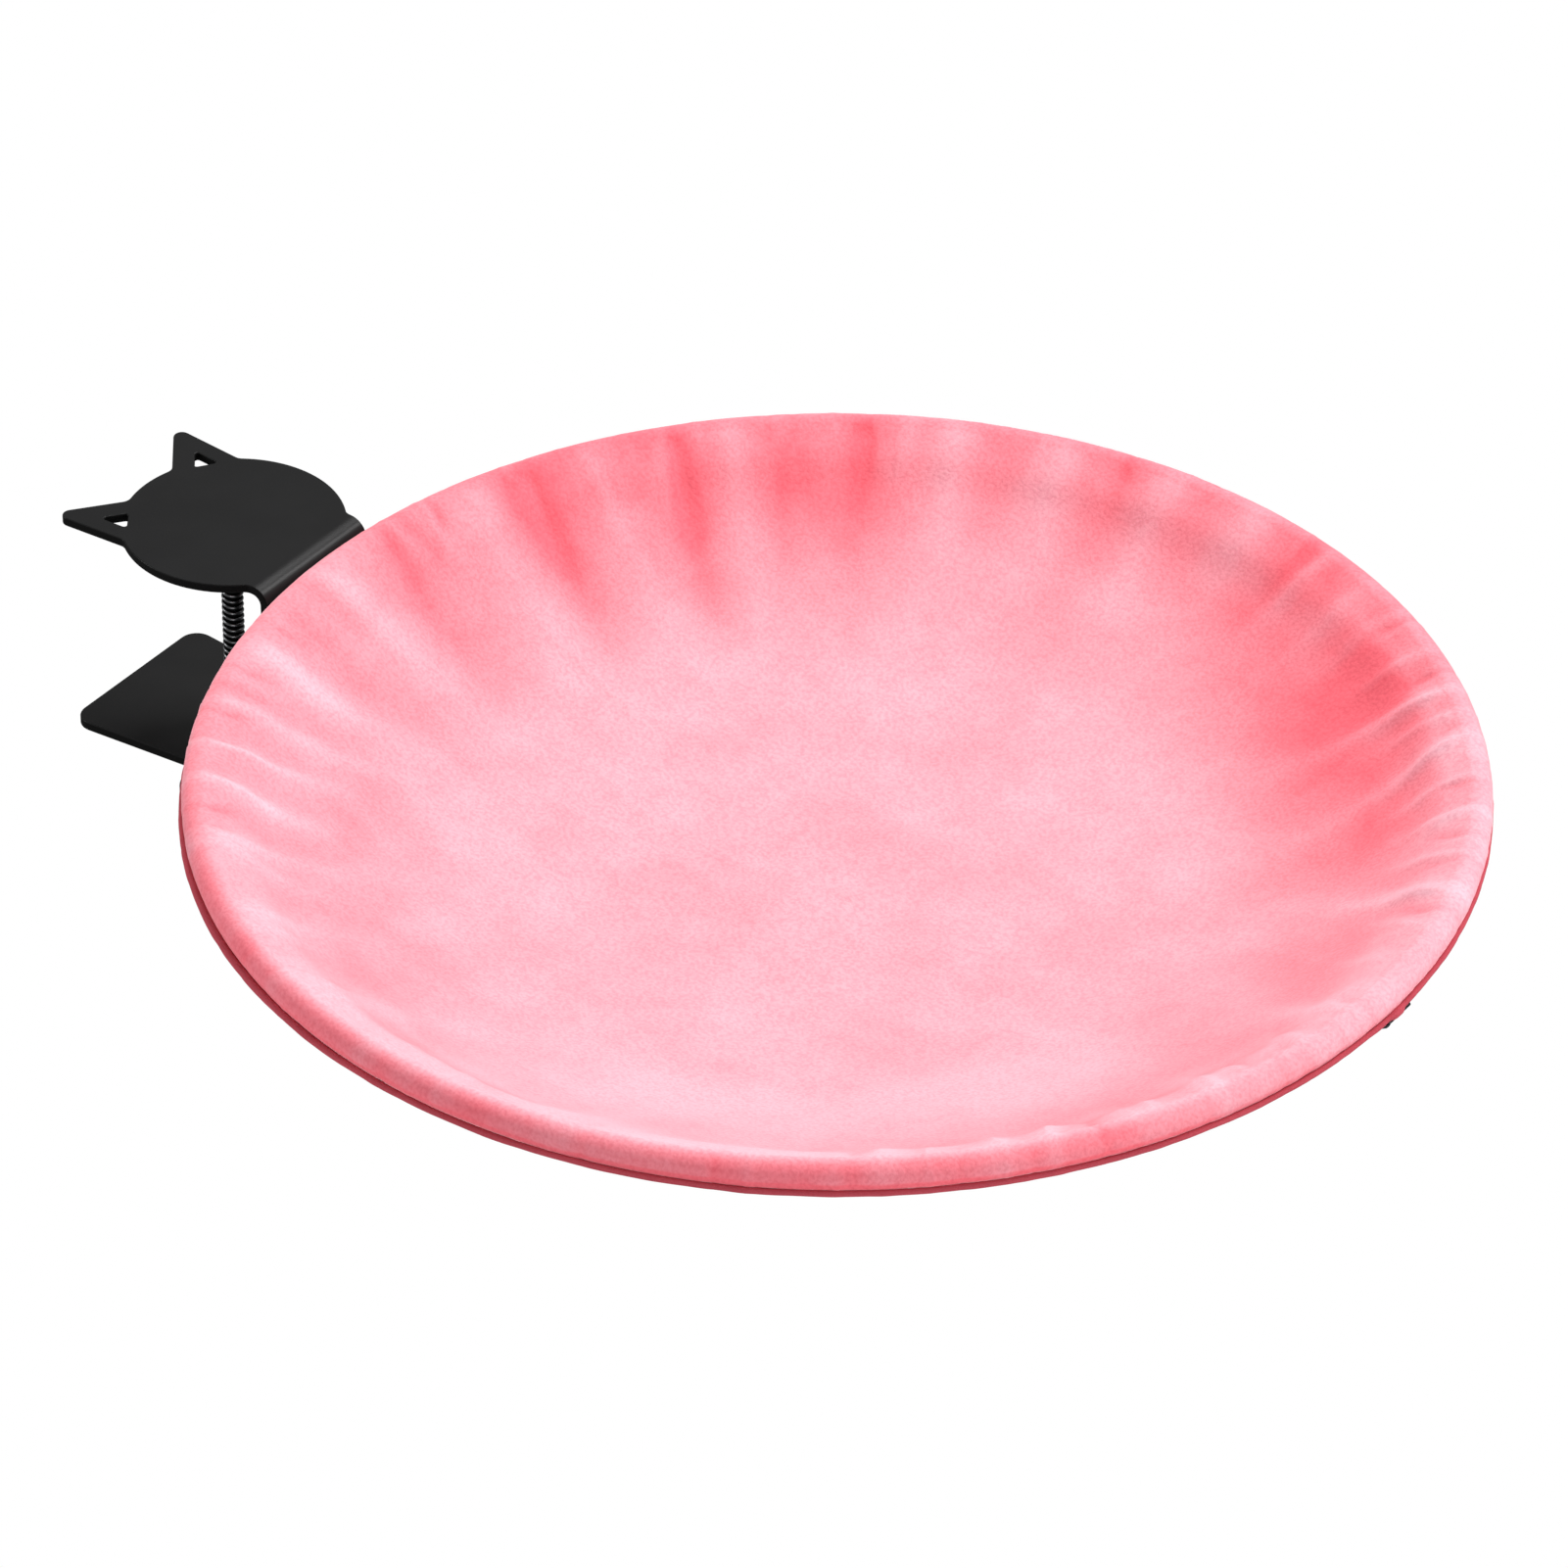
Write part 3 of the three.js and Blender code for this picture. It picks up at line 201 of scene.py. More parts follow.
world = bpy.data.worlds.new("white_room")
world.use_nodes = True
room = world.node_tree.nodes["Background"]
room.inputs["Color"].default_value = (1, 1, 1, 1)
room.inputs["Strength"].default_value = WORLD_STRENGTH
white_when_seen(world.node_tree, world.node_tree.nodes["World Output"], room.outputs[0])
scene.world = world
scene.view_settings.view_transform = "Standard"


# %% Lamps
def soft_lamp(name, place, width, height, power, towards=hoop_middle):
    """A lamp with a flat bright face that is turned to the hammock."""
    data = bpy.data.lights.new(name, "AREA")
    data.shape = "RECTANGLE"
    data.size = width
    data.size_y = height
    data.energy = power
    lamp = bpy.data.objects.new(name, data)
    lamp.location = place
    lamp.rotation_euler = (towards - Vector(place)).to_track_quat("-Z", "Y").to_euler()
    lamp.visible_camera = False
    scene.collection.objects.link(lamp)


soft_lamp("key_beyond_the_right_side", (1.2, 1.5, 1.9), 0.8, 0.8, 39)
soft_lamp("box_over_the_far_side", (-0.03, 1.3, 2.3), 1.3, 0.9, 48)
soft_lamp("card_on_the_right", (2.6, 0.35, 0.8), 0.8, 0.8, 30)
soft_lamp("card_below_the_near_side", (1.5, -1.65, -0.62), 1.6, 0.7, 25)
soft_lamp("card_left_of_the_clamp", (-1.35, -1.0, 0.45), 0.5, 0.9, 19, Vector((0, 0, -0.05)))

# %% [markdown]
# ## Finishes
#
# Several finishes share one effect, such as the grain of a coating or the weave of a cloth. Each such effect
# is a small group of shader nodes with its own sizes as inputs, made once and placed in every material that
# shows it. It reads Object coordinates, which are in metres here, so a size given in metres is a real size.

# %% Groups of shader nodes
def shader_group(name, sizes, make):
    """A group with number inputs. The function make builds it and gives back its results by name."""
    group = bpy.data.node_groups.new(name, "ShaderNodeTree")
    new_socket = group.interface.new_socket
    for label, value in sizes.items():
        new_socket(name=label, in_out="INPUT", socket_type="NodeSocketFloat").default_value = value
    results = make(group, group.nodes.new("NodeGroupInput").outputs)
    for label in results:
        new_socket(name=label, in_out="OUTPUT", socket_type="NodeSocketFloat")
    add_node(group, "NodeGroupOutput", results)
    print("group", name, "gives", list(results))
    return group


def add_math(tree, operation, first, second=None, clamp=False):
    """A Math node on one or two values, each a number or another node's socket."""
    values = {0: first} if second is None else {0: first, 1: second}
    return add_node(tree, "ShaderNodeMath", values, operation=operation, use_clamp=clamp).outputs[0]


def add_noise(tree, size, detail=2.0, roughness=0.5):
    """Noise whose lumps are about as wide as the given size in metres."""
    return add_node(tree, "ShaderNodeTexNoise", {
        "Vector": add_node(tree, "ShaderNodeTexCoord").outputs["Object"],
        "Scale": 1 / size if isinstance(size, float) else add_math(tree, "DIVIDE", 1.0, size),
        "Detail": detail, "Roughness": roughness,
    }).outputs[0]


# %% Grain: the fine lumps of a coating or a moulding
def grain_results(group, sizes):
    return {
        "Height": add_noise(group, sizes["Grain Size"], 3.0),
        "Patches": add_noise(group, sizes["Patch Size"], 2.0),
    }


grain = shader_group("grain", {"Grain Size": 0.0005, "Patch Size": 0.03}, grain_results)

# %% Pile: the tufts of velvet and the patches in which they lie one way
def pile_results(group, sizes):
    brushed = add_noise(group, sizes["Brushed Size"], 3.0, roughness=0.6)
    wide = add_noise(group, sizes["Broad Size"], 1.0)
    parts = [add_math(group, "MULTIPLY", brushed, 0.65), add_math(group, "MULTIPLY", wide, 0.35)]
    return {
        "Height": add_noise(group, sizes["Tuft Size"], 2.5),
        "Lie": add_math(group, "ADD", *parts),
    }


pile = shader_group("pile", {"Tuft Size": 0.0006, "Brushed Size": 0.03, "Broad Size": 0.12}, pile_results)

# %% Weave: threads that go over and under each other
SLUB_SIZE = 0.004


def weave_results(group, sizes):
    flat = add_node(group, "ShaderNodeSeparateXYZ", {0: add_node(group, "ShaderNodeTexCoord").outputs["UV"]})
    waves = []
    for axis in ("X", "Y"):
        turns = add_math(group, "DIVIDE", flat.outputs[axis], sizes["Thread Width"])
        waves.append(add_math(group, "SINE", add_math(group, "MULTIPLY", turns, math.pi)))
    over = add_math(group, "MULTIPLY", *waves)
    return {
        "Height": add_math(group, "ADD", add_math(group, "MULTIPLY", over, 0.5), 0.5),
        "Slubs": add_noise(group, SLUB_SIZE),
    }


weave = shader_group("weave", {"Thread Width": 0.0004}, weave_results)

# %% [markdown]
# A material holds its own Principled shader. Each value that is the same all over is typed into the shader's
# own socket, and only what changes over the surface comes through a link. The helper below makes the shader,
# places one group and gives back what the cells after it wire up.

# %% A material with one shared effect
def finish(name, effect, sizes, **values):
    """A new material, its shader and its placed group."""
    material = bpy.data.materials.new(name)
    material.use_nodes = True
    shader = material.node_tree.nodes["Principled BSDF"]
    for label, value in values.items():
        shader.inputs[label.replace("_", " ")].default_value = value
    print("finish", name, "with", effect.name)
    return material, shader, add_node(material.node_tree, "ShaderNodeGroup", sizes, node_tree=effect)


# %% Colours and values that change over a surface
def colour_between(tree, share, low, high, first, second):
    """A colour that goes from one to the other as a value goes from low to high."""
    blend = add_node(tree, "ShaderNodeValToRGB", {0: share})
    for stop, position, colour in zip(blend.color_ramp.elements, (low, high), (first, second)):
        stop.position = position
        stop.color = (*colour, 1)
    return blend.outputs[0]


def value_between(tree, share, low, high):
    """Turns a value from 0 to 1 into one from low to high."""
    return add_math(tree, "ADD", add_math(tree, "MULTIPLY", share, high - low), low)


def mixed(tree, share, first, second, way="MIX"):
    """Two colours, mixed by a share or multiplied."""
    return add_node(
        tree, "ShaderNodeMix", {0: share, 6: first, 7: second}, data_type="RGBA", blend_type=way,
    ).outputs[2]


def bumped(tree, shader, height, depth):
    """Lets a height roughen the surface, by a real depth in metres."""
    bump = add_node(tree, "ShaderNodeBump", {"Distance": depth, "Height": height})
    tree.links.new(bump.outputs["Normal"], shader.inputs["Normal"])


# %% A grained finish
PATCH_SIZE = 0.02


def grained(name, first, second, grain_size, depth, rough, **values):
    """A hard finish: two close colours in patches, a grain and a roughness that changes a little."""
    sizes = {"Grain Size": grain_size, "Patch Size": PATCH_SIZE}
    material, shader, placed = finish(name, grain, sizes, **values)
    tree, patches = material.node_tree, placed.outputs["Patches"]
    tree.links.new(colour_between(tree, patches, 0.35, 0.65, first, second), shader.inputs["Base Color"])
    tree.links.new(value_between(tree, patches, *rough), shader.inputs["Roughness"])
    bumped(tree, shader, placed.outputs["Height"], depth)
    return material


# %% [markdown]
# ### The hard finishes
#
# The steel of the clamp is powder coated: matt black, with the fine lumps that the powder leaves when it
# melts. On the sides of the plate, which look sideways, it is duller, and darker than the faces as painted
# shade. An attribute says where that is. The rubber is duller and the moulded knob a little smoother.
# Zinc and black oxide are metals with a thin skin, so they are metallic, and the oxide is rubbed bright on
# the crests of the thread.

# %% Hard finishes
def coated_plate(name, face_colours, shaded_edge_colours, **values):
    """Powder coat that is duller on the sides of the plate, and darker there as painted shade."""
    sizes = {"Grain Size": 0.00045, "Patch Size": PATCH_SIZE}
    material, shader, placed = finish(name, grain, sizes, **values)
    tree, patches = material.node_tree, placed.outputs["Patches"]
    # The sides of the plate get darker colours as painted shade, and a duller finish.
    cut = add_node(tree, "ShaderNodeAttribute", attribute_name="cut_edge").outputs["Fac"]
    face, edge = (colour_between(tree, patches, 0.35, 0.65, *pair) for pair in (face_colours, shaded_edge_colours))
    duller = add_math(tree, "MULTIPLY", cut, 0.3)
    rough = add_math(tree, "ADD", value_between(tree, patches, 0.48, 0.53), duller)
    tree.links.new(mixed(tree, cut, face, edge), shader.inputs["Base Color"])
    tree.links.new(rough, shader.inputs["Roughness"])
    tree.links.new(value_between(tree, cut, 0.12, 0.0), shader.inputs["Coat Weight"])
    bumped(tree, shader, placed.outputs["Height"], 0.00004)
    return material


powder_coat = coated_plate(
    "black_powder_coat", ((0.0097, 0.0097, 0.0099), (0.011, 0.011, 0.0112)),
    ((0.002, 0.002, 0.002), (0.0028, 0.0028, 0.0028)), Specular_IOR_Level=0.08, Coat_Roughness=0.24,
)
black_rubber = grained(
    "black_rubber", (0.010, 0.010, 0.0105), (0.017, 0.017, 0.0175), 0.0003, 0.00005, (0.78, 0.9),
    Specular_IOR_Level=0.25,
)
black_plastic = grained(
    "black_plastic", (0.009, 0.009, 0.0095), (0.013, 0.013, 0.0135), 0.00025, 0.00004, (0.42, 0.52),
    Specular_IOR_Level=0.4,
)
zinc_steel = grained(
    "zinc_steel", (0.42, 0.43, 0.45), (0.58, 0.59, 0.60), 0.0006, 0.00001, (0.24, 0.4), Metallic=1.0,
)
dark_nickel = grained(
    "dark_nickel", (0.045, 0.045, 0.05), (0.075, 0.075, 0.08), 0.0006, 0.00001, (0.2, 0.34), Metallic=1.0,
)
zip_nylon = grained(
    "zip_nylon", (0.36, 0.045, 0.06), (0.48, 0.075, 0.095), 0.0004, 0.00001, (0.35, 0.5),
)

# %% [markdown]
# ### The cloths
#
# Velvet looks deep where one looks down into its pile and pale where one looks across it. Sheen in the
# Principled shader does this by itself. The pile also lies in patches, brushed one way or the other, which
# the shared group gives as soft mottling, and its tufts roughen the surface.

# %% Velvet, piping and wadding
def dyed(material, shader, placed, base, between, depth):
    """Colours a cloth, darkens it between its tufts or threads, and roughens it by their height."""
    tree, height = material.node_tree, placed.outputs["Height"]
    dark = colour_between(tree, height, *between, (1, 1, 1))
    tree.links.new(mixed(tree, 1.0, base, dark, "MULTIPLY"), shader.inputs["Base Color"])
    bumped(tree, shader, height, depth)
    return material


def velvety(name, deep, pale, tuft, depth, painted_shading=0.0, **values):
    """A cloth with a pile: deep and pale in patches, darker between its tufts, and with painted shade in its
    valleys and a painted highlight on its ridges.
    """
    material, shader, placed = finish(name, pile, {"Tuft Size": tuft}, **values)
    tree, share = material.node_tree, placed.outputs["Lie"]
    # Painted light and shade: the attribute paints a highlight on the crests of the folds and shade in their
    # valleys.
    if painted_shading:
        stands_out = add_node(tree, "ShaderNodeAttribute", attribute_name="stands_out").outputs["Fac"]
        by_painted_shading = add_math(tree, "MULTIPLY", stands_out, painted_shading)
        share = add_math(tree, "ADD", add_math(tree, "MULTIPLY", share, 1 - painted_shading), by_painted_shading)
    base = colour_between(tree, share, 0.3, 0.7, deep, pale)
    return dyed(material, shader, placed, base, (0.34, 0.6, (0.93, 0.80, 0.82)), depth)


pink_velvet = velvety(
    "pink_velvet", (0.89, 0.155, 0.195), (0.84, 0.458, 0.525), 0.0013, 0.00022, painted_shading=0.6,
    Roughness=0.92, Specular_IOR_Level=0.12, Sheen_Weight=0.9, Sheen_Roughness=0.33,
    Sheen_Tint=(1, 0.56, 0.62, 1),
)
coral_piping = velvety(
    "coral_piping", (0.42, 0.06, 0.082), (0.52, 0.08, 0.105), 0.0005, 0.0002,
    Roughness=0.92, Specular_IOR_Level=0.12, Sheen_Weight=0.1, Sheen_Roughness=0.4,
    Sheen_Tint=(1, 0.5, 0.55, 1),
)
white_wadding = velvety(
    "white_wadding", (0.80, 0.79, 0.77), (0.88, 0.87, 0.85), 0.0015, 0.0006,
    Roughness=0.95, Specular_IOR_Level=0.1, Sheen_Weight=0.2, Sheen_Roughness=0.5,
)


# %% Woven cloths
def woven(name, low, high, thread, depth, **values):
    """A plain weave, darker between its threads and a little uneven in colour."""
    material, shader, placed = finish(name, weave, {"Thread Width": thread}, **values)
    base = colour_between(material.node_tree, placed.outputs["Slubs"], 0.3, 0.7, low, high)
    return dyed(material, shader, placed, base, (0.1, 0.7, (0.72, 0.70, 0.70)), depth)


pink_lining = woven(
    "pink_lining", (0.70, 0.17, 0.215), (0.78, 0.21, 0.26), 0.0005, 0.00012,
    Roughness=0.85, Specular_IOR_Level=0.2, Sheen_Weight=0.15, Sheen_Roughness=0.5,
)
zip_cloth = woven(
    "zip_cloth", (0.42, 0.055, 0.075), (0.52, 0.075, 0.1), 0.0006, 0.00015,
    Roughness=0.8, Specular_IOR_Level=0.25,
)
sewing_thread = woven(
    "sewing_thread", (0.62, 0.12, 0.155), (0.74, 0.17, 0.21), 0.0003, 0.00005,
    Roughness=0.6, Specular_IOR_Level=0.3,
)

# %% [markdown]
# ## Steel and moulded pieces
#
# A solid from CAD has edges as sharp as a razor, and a real plate has none: the powder rounds them, and the
# rounding catches the light. A copy of the solid is merged, its flat faces are joined, and a Bevel modifier
# rounds what is left sharper than 30 degrees. Weighted Normal then keeps the light even on the flat faces, so
# that only the rounds shade. The copy stands for the solid, which stays for collision. A face that runs right
# round two holes shades badly, so the clamp's flat faces are parted through its ears first.

# %% Helpers that every piece uses
def plain(piece):
    """Applies the modifiers of a piece, so that only a plain mesh is left."""
    bpy.context.view_layer.update()
    seen = piece.evaluated_get(bpy.context.evaluated_depsgraph_get())
    mesh = bpy.data.meshes.new_from_object(seen)
    piece.modifiers.clear()
    piece.data = mesh
    return piece


def dressed(piece, node, body):
    """Hides the solid that a piece stands for, puts the piece on a body and prints its number of faces."""
    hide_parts(node)
    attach(piece, body)
    print(piece.name, len(piece.data.polygons), "faces")


# %% Rounded copies of rigid solids
def rounded(node, edge, material, reshape=None, parted_at=None):
    """A copy of a rigid solid whose sharp edges are rounded by so many metres."""
    mesh = solids[node].data.copy()
    mesh.materials.clear()
    mesh.materials.append(material)
    work = bmesh.new()
    work.from_mesh(mesh)
    bmesh.ops.remove_doubles(work, verts=work.verts, dist=2e-6)
    if parted_at is not None:
        parts = [*work.verts, *work.edges, *work.faces]
        cut = bmesh.ops.bisect_plane(work, geom=parts, plane_co=(parted_at, 0, 0), plane_no=(1, 0, 0))
        for item in cut["geom_cut"]:
            if isinstance(item, bmesh.types.BMEdge):
                item.seam = True
    bmesh.ops.dissolve_limit(
        work, verts=work.verts, edges=work.edges, angle_limit=math.radians(1.0),
        use_dissolve_boundaries=False, delimit={"SEAM"},
    )
    if reshape:
        reshape(work)
    work.to_mesh(mesh)
    work.free()
    mesh.shade_smooth()
    piece = bpy.data.objects.new(f"{node}_finished", mesh)
    scene.collection.objects.link(piece)
    bevel = piece.modifiers.new("rounded_edges", "BEVEL")
    bevel.width = edge
    bevel.segments = 2
    bevel.limit_method = "ANGLE"
    bevel.angle_limit = math.radians(30)
    bevel.use_clamp_overlap = False
    flat_stays_flat = piece.modifiers.new("flat_stays_flat", "WEIGHTED_NORMAL")
    flat_stays_flat.keep_sharp = True
    plain(piece)
    dressed(piece, node, solids[node]["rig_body"])
    return piece


# %% [markdown]
# The clamp goes first. Its cut edges, which get painted shade, are told from its faces by where they look: up
# to the bend a cut edge looks sideways and a face up or down, and past it a cut edge looks along the desk.

# %% Clamp bracket
# The ears' windows lie at EARS_AT. Past BEND_START the plate turns down, so that its edges face +Y and -Y.
EARS_AT = -0.035
BEND_START = 0.0327
clamp = rounded("clamp_bracket", 0.00045, powder_coat, parted_at=EARS_AT)
cut_edge = []
# How far each face looks sideways decides how much painted shade it gets.
for face in clamp.data.polygons:
    across = abs(face.normal.y) if face.center.x > BEND_START else 1 - abs(face.normal.z)
    cut_edge.append(min(max((across - 0.4) / 0.4, 0.0), 1.0))
clamp.data.attributes.new("cut_edge", "FLOAT", "FACE").data.foreach_set("value", cut_edge)
print("on cut edges:", sum(value > 0 for value in cut_edge))

# %% Other rigid pieces
for node, edge in (("hoop_mount", 0.0004), ("weld_nut", 0.00025)):
    rounded(node, edge, powder_coat)
rounded("top_pad", 0.0003, black_rubber)
for node, edge in (("knob_nut", 0.0002), ("foot_clip", 0.00015)):
    rounded(node, edge, zinc_steel)
for node in ("zip_pull", "zip_stop_closed", "zip_stop_open"):
    rounded(node, 0.00015, dark_nickel)
for side in ("left", "right"):
    for fastener, edge in (("bolt", 0.00015), ("washer", 0.00015), ("nut", 0.0002)):
        rounded(f"mount_{fastener}_{side}", edge, zinc_steel)

# %% [markdown]
# ## Rings of points
#
# Most pieces that are left are round, so one helper serves them all. It takes a list of rings, each with its
# own points, and joins every ring to the next. A ring may have a half or a quarter of the points of its
# neighbour, which keeps the middle of the bowl light, and a ring of one point closes a piece at its middle.

# %% Join rings of points
def ring_faces(first, first_count, second, second_count):
    """The faces between two rings, given by the index where each starts and by its number of points."""
    if first_count < second_count:
        return [face[::-1] for face in ring_faces(second, second_count, first, first_count)]
    if second_count == 1:
        return [(first + i, first + (i + 1) % first_count, second) for i in range(first_count)]
    step = first_count // second_count
    faces = []
    for j in range(second_count):
        here, there = second + j, second + (j + 1) % second_count
        corners = [first + (j * step + k) % first_count for k in range(step + 1)]
        if step == 1:
            faces.append((corners[0], corners[1], there, here))
            continue
        turn = step // 2
        faces += [(corners[k], corners[k + 1], here) for k in range(turn)]
        faces.append((corners[turn], there, here))
        faces += [(corners[k], corners[k + 1], there) for k in range(turn, step)]
    return faces


def ring_piece(name, rings, material, closed=False):
    """A piece from a list of rings, in metres. A closed one joins its last ring to its first."""
    starts = np.cumsum([0] + [len(ring) for ring in rings])
    faces = []
    pairs = list(zip(range(len(rings)), range(1, len(rings))))
    if closed:
        pairs.append((len(rings) - 1, 0))
    for a, b in pairs:
        faces += ring_faces(int(starts[a]), len(rings[a]), int(starts[b]), len(rings[b]))
    piece = mesh_piece(name, np.concatenate(rings), faces)
    piece.data.materials.append(material)
    return piece


# %% Circles and turned profiles
def circle_of(count):
    """So many angles, spaced evenly round a circle."""
    return np.arange(count) / count * 2 * math.pi


def level_ring(angle, radius, height):
    """A level ring about the Z axis, in millimetres. Its radius may change with the angle."""
    heights = np.full(len(angle), height)
    return np.stack([radius * np.cos(angle), radius * np.sin(angle), heights], axis=1) / 1000


def turned_rings(profile, steps=96):
    """Rings from a profile of (radius, height), turned about the Z axis. A radius of 0 gives one point."""
    return [level_ring(circle_of(steps if radius else 1), radius, height) for radius, height in profile]


# %% [markdown]
# ## Swivel foot
#
# The foot is a pressed steel disc with a rubber face. Both are turned shapes, so their profiles are simply
# written down with a small round at each edge, and the rubber keeps its two shallow grooves.

# %% Swivel foot
def box_in_mm(node):
    """The lowest and the highest corner of a solid's box, in millimetres."""
    return [corner * 1000 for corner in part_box(node)]


foot_low, foot_high = box_in_mm("pressure_foot")
pad_low, pad_high = box_in_mm("foot_pad")
foot_radius = foot_high.x
foot_profile = [
    (3, foot_low.z), (14.8, foot_low.z), (15.5, foot_low.z + 0.15), (15.9, foot_low.z + 0.55),
    (foot_radius, foot_low.z + 0.9), (foot_radius, foot_high.z - 0.35), (15.9, foot_high.z - 0.1),
    (15.65, foot_high.z), (3, foot_high.z),
]
pad_top = pad_high.z
groove = pad_top - 0.6
pad_profile = [
    (15.5, pad_low.z), (15.5, pad_top - 0.5), (15.35, pad_top - 0.12), (15.0, pad_top),
    (13.95, pad_top), (13.75, pad_top - 0.12), (13.7, groove), (12.7, groove),
    (12.65, pad_top - 0.12), (12.45, pad_top), (10.8, pad_top), (10.6, pad_top - 0.12), (10.5, groove),
    (9.6, groove), (9.5, pad_top - 0.12), (9.3, pad_top), (6.9, pad_top), (6.6, pad_top - 0.1),
    (6.5, pad_top - 0.35), (6.5, pad_low.z),
]
foot = ring_piece("pressure_foot_finished", turned_rings(foot_profile), powder_coat, closed=True)
foot_rubber = ring_piece("foot_pad_finished", turned_rings(pad_profile), black_rubber, closed=True)
for piece in (foot, foot_rubber):
    piece.data.set_sharp_from_angle(angle=math.radians(50))
dressed(foot, "pressure_foot", "foot")
dressed(foot_rubber, "foot_pad", "foot")

# %% [markdown]
# ## Clamp screw
#
# The thread is coarse, 2.5 mm from crest to crest, with round crests. Cutting it as one twisted surface is
# hard to get right at the ends. A path that winds round a core is easier: Geometry Nodes draw the path as a
# spiral, sweep a round profile along it and join it to the turned core, all from a few named sizes.

# %% A helper for node trees
def geometry_tree(name, sizes, make):
    """A tree with number inputs and a material input. The function make builds the shape in it."""
    tree = bpy.data.node_groups.new(name, "GeometryNodeTree")
    new_socket = tree.interface.new_socket
    new_socket(name="Geometry", in_out="INPUT", socket_type="NodeSocketGeometry")
    for label, value in sizes.items():
        new_socket(name=label, in_out="INPUT", socket_type="NodeSocketFloat").default_value = value
    new_socket(name="Finish", in_out="INPUT", socket_type="NodeSocketMaterial")
    new_socket(name="Geometry", in_out="OUTPUT", socket_type="NodeSocketGeometry")
    given = tree.nodes.new("NodeGroupInput").outputs
    real = add_node(tree, "GeometryNodeRealizeInstances", {0: make(tree, given)})
    smooth = add_node(tree, "GeometryNodeSetShadeSmooth", {0: real.outputs[0]})
    coat = add_node(tree, "GeometryNodeSetMaterial", {
        "Geometry": smooth.outputs[0], "Material": given["Finish"],
    })
    add_node(tree, "NodeGroupOutput", {0: coat.outputs[0]})
    print("tree", name, "takes", list(sizes))
    return tree


def run_tree(piece, tree, **values):
    """Runs a tree on a piece with its named inputs set, and leaves a plain mesh."""
    modifier = piece.modifiers.new("made_by_nodes", "NODES")
    modifier.node_group = tree
    for item in tree.interface.items_tree:
        if item.item_type == "SOCKET" and item.in_out == "INPUT" and item.name.replace(" ", "_") in values:
            modifier[item.identifier] = values[item.name.replace(" ", "_")]
    return plain(piece)


def joined(tree, first, second):
    """Two shapes as one."""
    join = add_node(tree, "GeometryNodeJoinGeometry", {0: first})
    tree.links.new(second, join.inputs[0])
    return join.outputs[0]


# %% The tree of the thread
def wound_thread(tree, sizes):
    """A spiral path, swept with a round crest and joined to the core."""
    spiral = add_node(tree, "GeometryNodeCurveSpiral", {
        "Resolution": 40, "Rotations": sizes["Turns"], "Start Radius": sizes["Path Radius"],
        "End Radius": sizes["Path Radius"], "Height": sizes["Thread Length"],
    })
    crest = add_node(tree, "GeometryNodeCurvePrimitiveCircle", {
        "Resolution": 10, "Radius": sizes["Crest Radius"],
    })
    sweep = add_node(tree, "GeometryNodeCurveToMesh", {
        "Curve": spiral.outputs[0], "Profile Curve": crest.outputs[0], "Fill Caps": True,
    })
    start = add_node(tree, "ShaderNodeCombineXYZ", {"Z": sizes["Start"]})
    moved = add_node(tree, "GeometryNodeTransform", {
        "Geometry": sweep.outputs[0], "Translation": start.outputs[0],
    })
    return joined(tree, moved.outputs[0], sizes["Geometry"])


thread_tree = geometry_tree("wound_thread", {
    "Turns": 10.0, "Path Radius": 0.003, "Crest Radius": 0.0007, "Thread Length": 0.02, "Start": 0.0,
}, wound_thread)

# %% [markdown]
# The oxide on the rod is black in the grooves and rubbed bright on the crests, where the nut and the fingers
# touch it. The distance from the screw's axis tells the two apart, and the axis is the Z axis here, so the
# finish reads X and Y from the Object coordinates.

# %% Finish of the thread
CREST_FROM = 0.00345
oxide, oxide_shader, oxide_grain = finish(
    "black_oxide_steel", grain, {"Grain Size": 0.0008, "Patch Size": 0.006}, Metallic=1.0,
)
tree = oxide.node_tree
spot = add_node(tree, "ShaderNodeSeparateXYZ", {0: add_node(tree, "ShaderNodeTexCoord").outputs["Object"]})
squares = [add_math(tree, "MULTIPLY", spot.outputs[axis], spot.outputs[axis]) for axis in ("X", "Y")]
from_axis = add_math(tree, "SQRT", add_math(tree, "ADD", *squares))
on_crest = add_math(tree, "MULTIPLY", add_math(tree, "SUBTRACT", from_axis, CREST_FROM), 2000.0, clamp=True)
uneven = value_between(tree, oxide_grain.outputs["Patches"], 0.6, 1.3)
rubbed = add_math(tree, "MULTIPLY", on_crest, uneven, clamp=True)
colour = colour_between(tree, rubbed, 0.2, 0.95, (0.005, 0.005, 0.0054), (0.15, 0.153, 0.158))
tree.links.new(colour, oxide_shader.inputs["Base Color"])
tree.links.new(value_between(tree, rubbed, 0.55, 0.33), oxide_shader.inputs["Roughness"])
bumped(tree, oxide_shader, oxide_grain.outputs["Height"], 0.00002)

